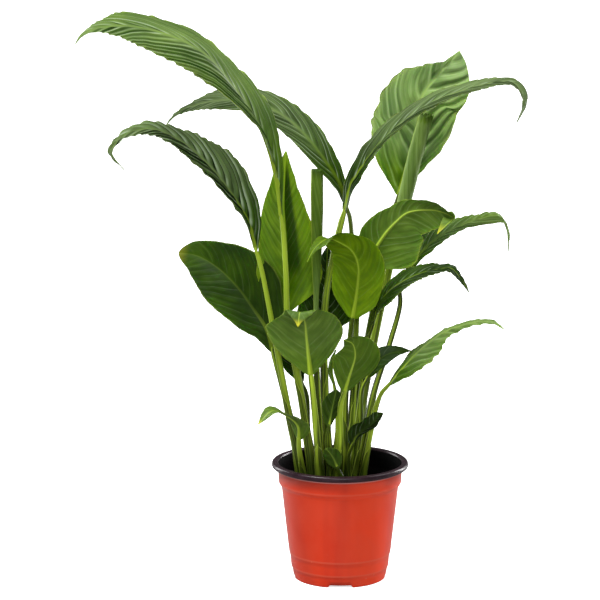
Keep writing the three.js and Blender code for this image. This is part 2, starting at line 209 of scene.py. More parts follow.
def bladeTree():
    tree, given = startTree(
        "leafBlade", Int="Columns, Rows",
        Float="Length, Thickness, Rib Height, Crumple, Pleat Spacing, Pleat Depth, Pleat Lean, Left Curl, "
              "Right Curl, Ruffle, Ruffle Length, Ragged, Seed, Tone, Yellow, Rib Show, Rib Foot, "
              "Streaks, Crease")
    form = bladeForm
    guide = given["Geometry"]
    rows = given["Rows"]
    grid, across, along = gridOf(4.0, given["Columns"] * 4.0, rows)
    row = calc("ROUND", along * rows)
    centre, side, up = placeOnGuide(guide, row)
    names = ("leftWidth", "rightWidth", "leftFold", "rightFold", "ribRadius")
    left, right, leftFold, rightFold, ribRadius = (readGuide(guide, row, name) for name in names)
    linear, facing, under = bothFaces(across)
    reach = linear ** form["crowding"]  # rows of points lie closer together beside the midrib
    onLeft = calc("LESS_THAN", facing, 0.0)
    width = choose(onLeft, right, left)
    fold = choose(onLeft, rightFold, leftFold)
    distance = reach * width
    travel = along * given["Length"]

    # veins leave the midrib at a slant and bend towards the tip; the blade bulges between them
    bending = reach * form["veinBend"] + form["veinStart"]
    slant = distance * bending * given["Pleat Lean"]
    wander = roughly(travel * 30.0, facing, given["Seed"])
    phase = wander * form["veinWander"] + (travel - slant) / given["Pleat Spacing"]
    phase = facing * form["veinOffset"] + phase
    bulge = abs(calc("SINE", phase * math.pi))
    swell = ease(reach, 0.0, 0.3) * ease(along, 0.02, 0.16) * ease(along, 1.0, 0.86)
    chance = randomValue(tree, "FLOAT", {"Min": 0.45, "Max": 1.3, "ID": calc("FLOOR", phase), "Seed": 5})
    pleatRise = bulge * swell * chance * given["Pleat Depth"]

    # the margin waves on its own
    ripple = roughly(travel / given["Ruffle Length"], facing, given["Seed"] + 7.0)
    ripple = ripple * given["Ruffle"] * reach ** 2.0 * ease(along, 1.0, 0.8)
    notch = roughly(travel / form["notchStep"], facing, given["Seed"] + 3.0)
    notch = notch * reach ** 3.0 * given["Ragged"] * ease(along, 1.0, 0.85)
    scallop = reach ** 3.0 * (pleatRise * form["scallop"]) + notch

    angle = reach * choose(onLeft, given["Right Curl"], given["Left Curl"]) + fold
    flat = distance * calc("COSINE", angle) + scallop
    dent = roughly(travel / form["dentStep"], distance / form["dentWidth"] * facing, given["Seed"] + 11.0)
    dent = dent * given["Crumple"] * ease(reach, 0.0, 0.4)
    lift = distance * calc("SINE", angle) + pleatRise + ripple + dent

    # thickness, gone at the margins and the ends, with a groove above the midrib and a ridge below it
    fraction = distance / (ribRadius * form["ribWidth"])
    hump = calc("EXPONENT", -(fraction * fraction))
    ridge = hump * ribRadius * given["Rib Height"]
    half = given["Thickness"] * 0.5 * (1.0 - linear ** 6.0)
    skin = choose(under, ridge * form["ribGroove"] + half, -(half + ridge))
    ends = ease(along, 0.0, 0.012) * ease(along, 1.0, 0.985)
    lift = skin * ends + lift
    spot = moved(moved(centre, side, -(flat * facing) * ends), up, lift * ends)

    # what the materials need to know
    shape = remember(grid, "leafPlace", packed(distance * (1 / mm), along, phase))
    # painted shade along the fold beside the midrib, on the left half of the blade, taken off its tone
    crease = ease(reach, 0.03, 0.1) * ease(reach, 0.58, 0.42) * (onLeft * given["Crease"])
    crease = crease * ease(abs(along - form["creaseMiddle"]), 0.4, 0.25)
    # a leaf's tone is partly its own lighter or darker green and partly painted light: above zero it lays a
    # painted sheen, turning to painted shade at the foot of the blade; below zero it lays painted shade
    paler = calc("MAXIMUM", given["Tone"], 0.0) * ease(along, 0.04, 0.42, -0.3, 1.0)
    tone = paler + calc("MINIMUM", given["Tone"], 0.0)
    shape = remember(shape, "leafMarks", packed(under, tone - crease, given["Yellow"]))
    ribMask = ease(distance / ribRadius, 1.15, 0.7)
    ribMask = ribMask * calc("MAXIMUM", given["Rib Show"], ease(along, 0.42, 0.1) * given["Rib Foot"])
    shape = remember(shape, "leafShow", packed(reach, ribMask, given["Streaks"]))
    return endTree(closed(setPosition(shape, Position=spot)), given["Material"])


# A young leaf is the same sheet wound round itself. Its outer edge shows as a seam.
def rolledTree():
    _, given = startTree(
        "rolledLeaf", Int="Columns, Rows",
        Float="Thickness, Turns, Start Angle, Tightness, Ragged, Seed, Tone")
    rows = given["Rows"]
    grid, across, along = gridOf(2.0, given["Columns"] * 2.0, rows)
    shifted = across + 1.0
    under = calc("GREATER_THAN", shifted, 1.0001)
    wound = calc("PINGPONG", shifted, 1.0)

    # the top edge is uneven, so each column stops at its own height
    tear = roughly(wound * 9.0, 0.0, given["Seed"])
    stop = 1.0 - abs(tear) * given["Ragged"]
    row = calc("ROUND", along * stop * rows)
    centre, side, up = placeOnGuide(given["Geometry"], row)
    radius = readGuide(given["Geometry"], row, "radius")
    turn = wound * (given["Turns"] * fullTurn) + given["Start Angle"]
    inward = wound * given["Tightness"] + (1.0 - given["Tightness"])
    fine = roughly(along * 7.0, wound * 3.0, given["Seed"])
    body = 1.0 - abs(wound * 2.0 - 1.0) ** 8.0
    ends = ease(along, 0.0, 0.01) * ease(along, 1.0, 0.985)
    skin = given["Thickness"] * body * ends * (0.5 - under)
    ring = radius * inward * (fine * 0.07 + 1.0) + skin
    spot = moved(moved(centre, side, ring * calc("COSINE", turn)), up, ring * calc("SINE", turn))
    inside = (wound - 0.5) * 20.0
    phase = (wound + along * 0.6) * 13.0
    shape = remember(grid, "leafPlace", packed(inside, along * 0.7, phase))
    # painted shade inside the rolled leaf's open top, laid as a darker tone
    mouth = ease(along, 0.93, 1.0) * (given["Tone"] + 0.7)
    paleFoot = ease(along, 0.5, 0.12) * 0.3
    shape = remember(shape, "leafMarks", packed(1.0 - under, given["Tone"] + paleFoot - mouth, 0.0))
    ribMask = ease(abs(inside), 1.2, 0.5, 0.0, 0.8)
    shape = remember(shape, "leafShow", packed(0.5, ribMask, 0.15))
    return endTree(closed(setPosition(shape, Position=spot)), given["Material"])


stalkForm = {
    "grooveSharpness": 8.0, "ridges": 9.0, "ridgeHeight": 0.018, "sheathColumns": 44, "standOff": 0.4,
}


# A stalk: a grooved bar with, over its lower part, a thin sheath that wraps it and stands off at its edges.
def stalkTree():
    _, given = startTree(
        "leafStalk", Int="Columns, Rows, Sheath Rows",
        Float="Groove, Sheath Wrap, Sheath Flare, Sheath Thickness, Seed, Tone")
    form = stalkForm
    rows = given["Rows"]
    grid, across, along = gridOf(1.0, given["Columns"], rows)
    row = calc("ROUND", along * rows)
    centre, side, up = placeOnGuide(given["Geometry"], row)
    radius = readGuide(given["Geometry"], row, "radius")
    turn = across * fullTurn
    facingIn = calc("MAXIMUM", calc("SINE", turn), 0.0) ** form["grooveSharpness"]
    hollow = facingIn * given["Groove"] * ease(along, 0.3, 0.6)
    lines = calc("SINE", turn * form["ridges"]) * form["ridgeHeight"]
    ends = ease(along, 0.0, 0.01) * ease(along, 1.0, 0.985)
    ring = radius * (1.0 + lines - hollow) * ends
    spot = moved(moved(centre, side, ring * calc("COSINE", turn)), up, ring * calc("SINE", turn))
    bar = remember(grid, "stalkPlace", packed(across, along, 0.0))
    bar = setPosition(bar, Position=spot)

    sheathRows = given["Sheath Rows"]
    sheet, across, along = gridOf(4.0, form["sheathColumns"], sheathRows)
    row = calc("ROUND", along * sheathRows)
    centre, side, up = placeOnGuide(given["Geometry"], row)
    radius = readGuide(given["Geometry"], row, "radius")
    reach, facing, under = bothFaces(across)
    narrow = ease(along, 1.0, 0.8) * ease(along, 1.1, 0.1, 0.55, 1.0)
    wobble = roughly(along * 5.0, facing, given["Seed"])
    wrap = (wobble * 0.12 + narrow) * given["Sheath Wrap"] * ease(along, 1.0, 0.93)
    turn = reach * facing * wrap
    flare = reach ** 3.0 * given["Sheath Flare"] * (wobble * 0.35 + ease(along, 1.0, 0.2))
    ends = ease(along, 0.0, 0.02) * ease(along, 1.0, 0.96)
    skin = given["Sheath Thickness"] * (1.0 - reach ** 4.0) * ends * (0.5 - under)
    ring = given["Sheath Thickness"] * form["standOff"] + radius + flare - skin
    spot = moved(moved(centre, side, ring * calc("SINE", turn)), up, -(ring * calc("COSINE", turn)))
    around = turn * (1 / fullTurn) + 0.75
    sheet = setPosition(remember(sheet, "stalkPlace", packed(around, along, reach)), Position=spot)
    # the stalk's tone: painted light above zero, painted shade below it
    toned = remember(joined(sheet, bar), "stalkTone", given["Tone"], "FLOAT")
    return endTree(closed(toned), given["Material"])


# ---- guide lines

def inScene(name, data):
    holder = bpy.data.objects.new(name, data)
    bpy.context.scene.collection.objects.link(holder)
    return holder


def curveThrough(points, spacing):  # centripetal spline through the points, then even steps along it
    knots = [Vector(point) * mm for point in points]
    knots = [2 * knots[0] - knots[1]] + knots + [2 * knots[-1] - knots[-2]]
    fine = []
    steps = 24
    for i in range(1, len(knots) - 2):
        a, b, c, d = knots[i - 1:i + 3]
        first = (b - a).length ** 0.5
        second = first + (c - b).length ** 0.5
        third = second + (d - c).length ** 0.5
        for step in range(steps):
            t = first + (second - first) * step / steps
            ab = a.lerp(b, t / first)
            bc = b.lerp(c, (t - first) / (second - first))
            cd = c.lerp(d, (t - second) / (third - second))
            abc = ab.lerp(bc, t / second)
            bcd = bc.lerp(cd, (t - first) / (third - first))
            fine.append(abc.lerp(bcd, (t - first) / (second - first)))
    fine.append(knots[-2])
    places = np.array(fine)
    run = np.concatenate([[0], np.cumsum(np.linalg.norm(np.diff(places, axis=0), axis=1))])
    count = max(12, round(run[-1] / spacing))
    even = np.linspace(0, run[-1], count + 1)
    return np.stack([np.interp(even, run, places[:, k]) for k in range(3)], axis=1), run[-1]


def softened(values, share=0.08):  # rounds the corners of a stepped or straight-line list
    reach = max(1, int(len(values) * share))
    wide = np.pad(values, reach, mode="edge")
    return np.convolve(wide, np.ones(2 * reach + 1) / (2 * reach + 1), mode="valid")


def ramp(values, count, share=0.08):
    return softened(np.interp(np.linspace(0, 1, count), np.linspace(0, 1, len(values)), values), share)


def directionsAlong(places, heading, roll):
    tangents = np.gradient(places, axis=0)
    tangents /= np.linalg.norm(tangents, axis=1)[:, None]
    angle = math.radians(heading)
    across = Vector((-math.sin(angle), math.cos(angle), 0))
    sides, ups = [], []
    for tangent, turn in zip(tangents, np.radians(roll)):
        forward = Vector(tangent)
        side = (across - across.dot(forward) * forward).normalized()
        side = Matrix.Rotation(turn, 3, forward) @ side
        sides.append(side)
        ups.append(forward.cross(side))
    return np.array(sides), np.array(ups)


def guideLine(name, places, vectors, values):
    mesh = bpy.data.meshes.new(name)
    count = len(places)
    mesh.from_pydata([tuple(place) for place in places], [(i, i + 1) for i in range(count - 1)], [])
    for labels, kind, field in ((vectors, "FLOAT_VECTOR", "vector"), (values, "FLOAT", "value")):
        for label, data in labels.items():
            attribute = mesh.attributes.new(label, kind, "POINT")
            attribute.data.foreach_set(field, np.ravel(data).astype("f"))
    return inScene(name, mesh)


def grown(guide, tree, inputs):  # runs a tree on its guide line and keeps the plain mesh
    modifier = guide.modifiers.new("shape", "NODES")
    modifier.node_group = tree
    for item in tree.interface.items_tree:
        if item.in_out == "INPUT" and item.name in inputs:
            modifier[item.identifier] = inputs[item.name]
    depsgraph = bpy.context.evaluated_depsgraph_get()
    mesh = bpy.data.meshes.new_from_object(guide.evaluated_get(depsgraph), depsgraph=depsgraph)
    line = guide.data
    guide.modifiers.clear()
    guide.data = mesh
    bpy.data.meshes.remove(line)
    mesh.name = guide.name
    return guide


def keepPiece(piece, node, slot):
    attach(piece, "root")
    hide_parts(node)


# ---- materials

def startGroup(name, inputs):  # every input and output of a group is one number
    group = bpy.data.node_groups.new(name, "ShaderNodeTree")
    for label, value in inputs.items():
        given = group.interface.new_socket(label, in_out="INPUT", socket_type="NodeSocketFloat")
        given.default_value = value
    return group, group.nodes.new("NodeGroupInput").outputs


def endGroup(group, outputs):
    for label in outputs:
        group.interface.new_socket(label, in_out="OUTPUT", socket_type="NodeSocketFloat")
    addNode(group, "NodeGroupOutput", outputs)
    return group


def placed(tree, group, **values):
    feeds = {label.replace("_", " "): value for label, value in values.items()}
    return addNode(tree, "ShaderNodeGroup", feeds, node_tree=group).outputs


def stored(tree, name, output="Vector"):
    return addNode(tree, "ShaderNodeAttribute", attribute_name=name).outputs[output]


def ownPlace(tree):
    return addNode(tree, "ShaderNodeTexCoord").outputs["Object"]


def bumped(height, strength, distance):
    feeds = {"Strength": strength, "Distance": distance, "Height": height}
    return addNode(treeOf(height), "ShaderNodeBump", feeds).outputs[0]


def layered(face, *layers):  # lays each colour over the ones before it, where its mask is
    for mask, tone in layers:
        face = blended(mask, face, tone)
    return face


def palette(**tones):  # 0..255 as seen on screen becomes linear, and plain numbers stay
    def linear(value):
        value /= 255
        return value / 12.92 if value < 0.04045 else ((value + 0.055) / 1.055) ** 2.4

    return {name: (*map(linear, tone), 1.0) if isinstance(tone, tuple) else tone
            for name, tone in tones.items()}


def startMaterial(name):
    material = bpy.data.materials.new(name)
    material.use_nodes = True
    return material, material.node_tree, material.node_tree.nodes["Principled BSDF"]


def mottleGroup():  # soft patches, fine grain and small specks
    group, given = startGroup("mottle", {"Patch Scale": 30.0, "Grain Scale": 900.0})
    place = ownPlace(group)
    cells = addNode(group, "ShaderNodeTexVoronoi", {"Vector": place, "Scale": given["Grain Scale"] * 0.3})
    return endGroup(group, {
        "Patches": ease(noise(place, given["Patch Scale"], 3.0), 0.3, 0.7),
        "Grain": noise(place, given["Grain Scale"], 2.0),
        "Specks": ease(cells.outputs["Distance"], 0.16, 0.06)})


# widths and counts in shares of the gap between two side veins
veinForm = {"veinWidth": 0.1, "veinWidening": 0.16, "fineLines": 5, "bandsPerGap": 1.3}


def chanceOf(step):  # one random value from 0 to 1 for each whole number
    return addNode(treeOf(step), "ShaderNodeTexWhiteNoise", {"W": step}, noise_dimensions="1D").outputs[0]


def veiningGroup():  # midrib, side veins and the fine lines between them, from what the blade tree stored
    form = veinForm
    group, _ = startGroup("veining", {})
    distance, along, phase = parts(stored(group, "leafPlace"))
    under, tone, yellow = parts(stored(group, "leafMarks"))
    edge, midrib, streaks = parts(stored(group, "leafShow"))
    inside = ease(abs(distance), 0.6, 3.0)
    width = streaks * form["veinWidening"] + form["veinWidth"]
    strength = chanceOf(calc("ROUND", phase)) * 0.9 + 0.1
    # pale lines along the side veins: partly the veins' own paler green and partly a painted sheen on the
    # pleats
    veins = ease(calc("PINGPONG", phase, 0.5), width, 0.0) * inside * strength
    veins = veins * ease(noise(packed(phase, distance * 0.14, tone), 1.0, 1.0), 0.3, 0.55, 0.25, 1.0)
    # painted shade: a dark band down one side of each gap between side veins, where the pleat's furrow
    # lies; streaks scales it together with the veins
    gap = calc("FRACT", phase)
    depth = chanceOf(calc("FLOOR", phase)) * 0.8 + 0.2
    furrows = ease(gap, 0.03, 0.25) * ease(gap, 0.66, 0.36) * inside * depth
    lines = (calc("SINE", phase * (fullTurn * form["fineLines"])) * 0.5 + 0.5) * inside
    bands = noise(packed(phase * form["bandsPerGap"], abs(distance) * 0.05, 0.0), 1.0, 2.0)
    return endGroup(group, {
        "Bands": ease(bands, 0.36, 0.64) * inside, "Midrib": midrib, "Veins": veins * streaks,
        "Furrows": furrows * streaks, "Lines": lines, "Relief": lines * 0.3 - veins, "Under": under,
        "Tone": tone, "Yellow": yellow, "Margin": ease(edge, 0.95, 0.995), "Along": along})


def leafMaterial(name, look, mottle, veining):
    material, tree, shader = startMaterial(name)
    vein = placed(tree, veining)
    patch = placed(tree, mottle, Patch_Scale=26.0, Grain_Scale=1400.0)
    upper = blended(patch["Patches"], look["upper"], look["upperDeep"])
    lower = blended(patch["Patches"], look["lower"], look["lowerDeep"])
    ribShare = ease(vein["Under"], 0.0, 1.0, look["ribAbove"], look["ribBelow"])
    ribTone = blended(ease(vein["Along"], 0.4, 0.05), look["rib"], look["ribFoot"])
    rough = ease(vein["Under"], 0.0, 1.0, look["roughAbove"], look["roughBelow"])
    face = layered(
        blended(vein["Under"], upper, lower),
        # tone above zero: painted sheen in the grey-green pale; below zero: painted shade
        (calc("MAXIMUM", vein["Tone"], 0.0), look["pale"]),
        (calc("MAXIMUM", -vein["Tone"], 0.0), look["shade"]),
        (vein["Bands"] * look["bandStrength"], look["upperDeep"]),
        (vein["Lines"] * 0.12, look["upperDeep"]),
        # the veins: their own paler green and a painted sheen
        (vein["Veins"] * look["veinStrength"], look["vein"]),
        # the furrows: painted shade
        (vein["Furrows"] * look["furrowStrength"], look["furrow"]),
        (vein["Midrib"] * ribShare, ribTone),
        (vein["Margin"] * 0.35, look["rib"]),
        (vein["Yellow"] * ease(vein["Along"], 0.9, 1.0), look["ripe"]))
    feed(shader, {
        "Base Color": face, "Roughness": patch["Grain"] * 0.12 + rough, "Specular IOR Level": look["shine"],
        "Normal": bumped(patch["Grain"] * 0.25 + vein["Relief"], 0.35, 0.0005),
        "Subsurface Weight": look["glow"], "Subsurface Radius": (0.5, 1.0, 0.12),
        "Subsurface Scale": 0.0016})
    return material


def stalkMaterial(mottle):
    look = palette(
        low=(36, 62, 2), high=(92, 122, 18), edge=(186, 206, 80), deep=(10, 28, 0), foot=(22, 36, 4),
        bright=(176, 204, 56))
    material, tree, shader = startMaterial("stalkGreen")
    around, along, edge = parts(stored(tree, "stalkPlace"))
    tone = stored(tree, "stalkTone", "Fac")
    height = parts(ownPlace(tree))[2]
    patch = placed(tree, mottle, Patch_Scale=60.0, Grain_Scale=1600.0)
    stripe = noise(packed(around * 5.0, along * 1.5, tone), 1.0, 1.0)
    flank = abs(calc("COSINE", around * fullTurn))
    lines = calc("SINE", around * (fullTurn * 14))
    face = layered(
        # darker towards the bottom: painted shade down among the crowded stalks
        blended(ease(along, 0.15, 0.9), look["low"], look["high"]),
        (patch["Patches"] * 0.45, look["deep"]),
        # stalk tone above zero: painted light, more of it higher up; below zero: painted shade
        (calc("MAXIMUM", tone, 0.0) * ease(along, 0.2, 0.72, 0.22, 1.0), look["bright"]),
        (calc("MAXIMUM", -tone, 0.0), look["deep"]),
        # random lengthwise stripes: partly the stalk's own streaky colour, partly painted highlight in the
        # bright and painted shade in the deep
        (ease(stripe, 0.5, 0.62, 0.0, 0.8), look["bright"]),
        (ease(stripe, 0.48, 0.36, 0.0, 0.85), look["deep"]),
        # painted shade on the stalk's sides
        (ease(flank, 0.3, 1.0, 0.0, 0.3), look["deep"]),
        (lines * 0.07 + 0.07, look["edge"]),
        (ease(edge, 0.82, 1.0, 0.0, 0.95), look["edge"]),
        # painted shade on the stalks near and below the rim, inside the pot
        (ease(height, 0.148, 0.104, 0.0, 0.8), look["foot"]))
    feed(shader, {
        "Base Color": face, "Roughness": patch["Grain"] * 0.2 + 0.26, "Specular IOR Level": 0.16,
        "Normal": bumped(lines * 0.5 + patch["Grain"], 0.25, 0.0004),
        "Subsurface Weight": 0.1, "Subsurface Radius": (0.5, 1.0, 0.15), "Subsurface Scale": 0.002})
    return material


# ---- leaves

# In each look, pale is the grey-green of a painted sheen, shade and the furrow colour are painted shade,
# and vein is partly the veins' own paler green, partly painted sheen.
leafLooks = {
    "leaf_dark": palette(
        bandStrength=0.6, upper=(56, 84, 8), upperDeep=(22, 42, 2), lower=(80, 106, 32),
        lowerDeep=(62, 88, 26), vein=(160, 178, 146), veinStrength=1.0, furrow=(14, 30, 1),
        furrowStrength=0.95, pale=(144, 166, 110), shade=(16, 30, 4), rib=(142, 166, 62),
        ripe=(196, 190, 60), ribAbove=0.8, ribBelow=0.95, roughAbove=0.42, roughBelow=0.48, glow=0.05,
        shine=0.07, ribFoot=(150, 176, 44)),
    "leaf_mid": palette(
        bandStrength=0.45, upper=(86, 114, 22), upperDeep=(48, 78, 6), lower=(94, 122, 30),
        lowerDeep=(74, 102, 20), vein=(166, 186, 142), veinStrength=0.9, furrow=(26, 50, 2),
        furrowStrength=0.95, pale=(152, 176, 110), shade=(30, 50, 6), rib=(158, 184, 66),
        ripe=(206, 200, 50), ribAbove=0.75, ribBelow=0.95, roughAbove=0.36, roughBelow=0.5, glow=0.08,
        shine=0.12, ribFoot=(150, 176, 44)),
    "leaf_light": palette(
        bandStrength=0.38, upper=(108, 138, 26), upperDeep=(44, 78, 4), lower=(122, 154, 8),
        lowerDeep=(88, 122, 3), vein=(176, 196, 140), veinStrength=0.5, furrow=(16, 40, 1),
        furrowStrength=1.0, pale=(158, 184, 120), shade=(40, 64, 2), rib=(148, 176, 50),
        ripe=(206, 200, 50), ribAbove=0.75, ribBelow=0.95, roughAbove=0.38, roughBelow=0.48, glow=0.12,
        shine=0.1, ribFoot=(150, 176, 44)),
}
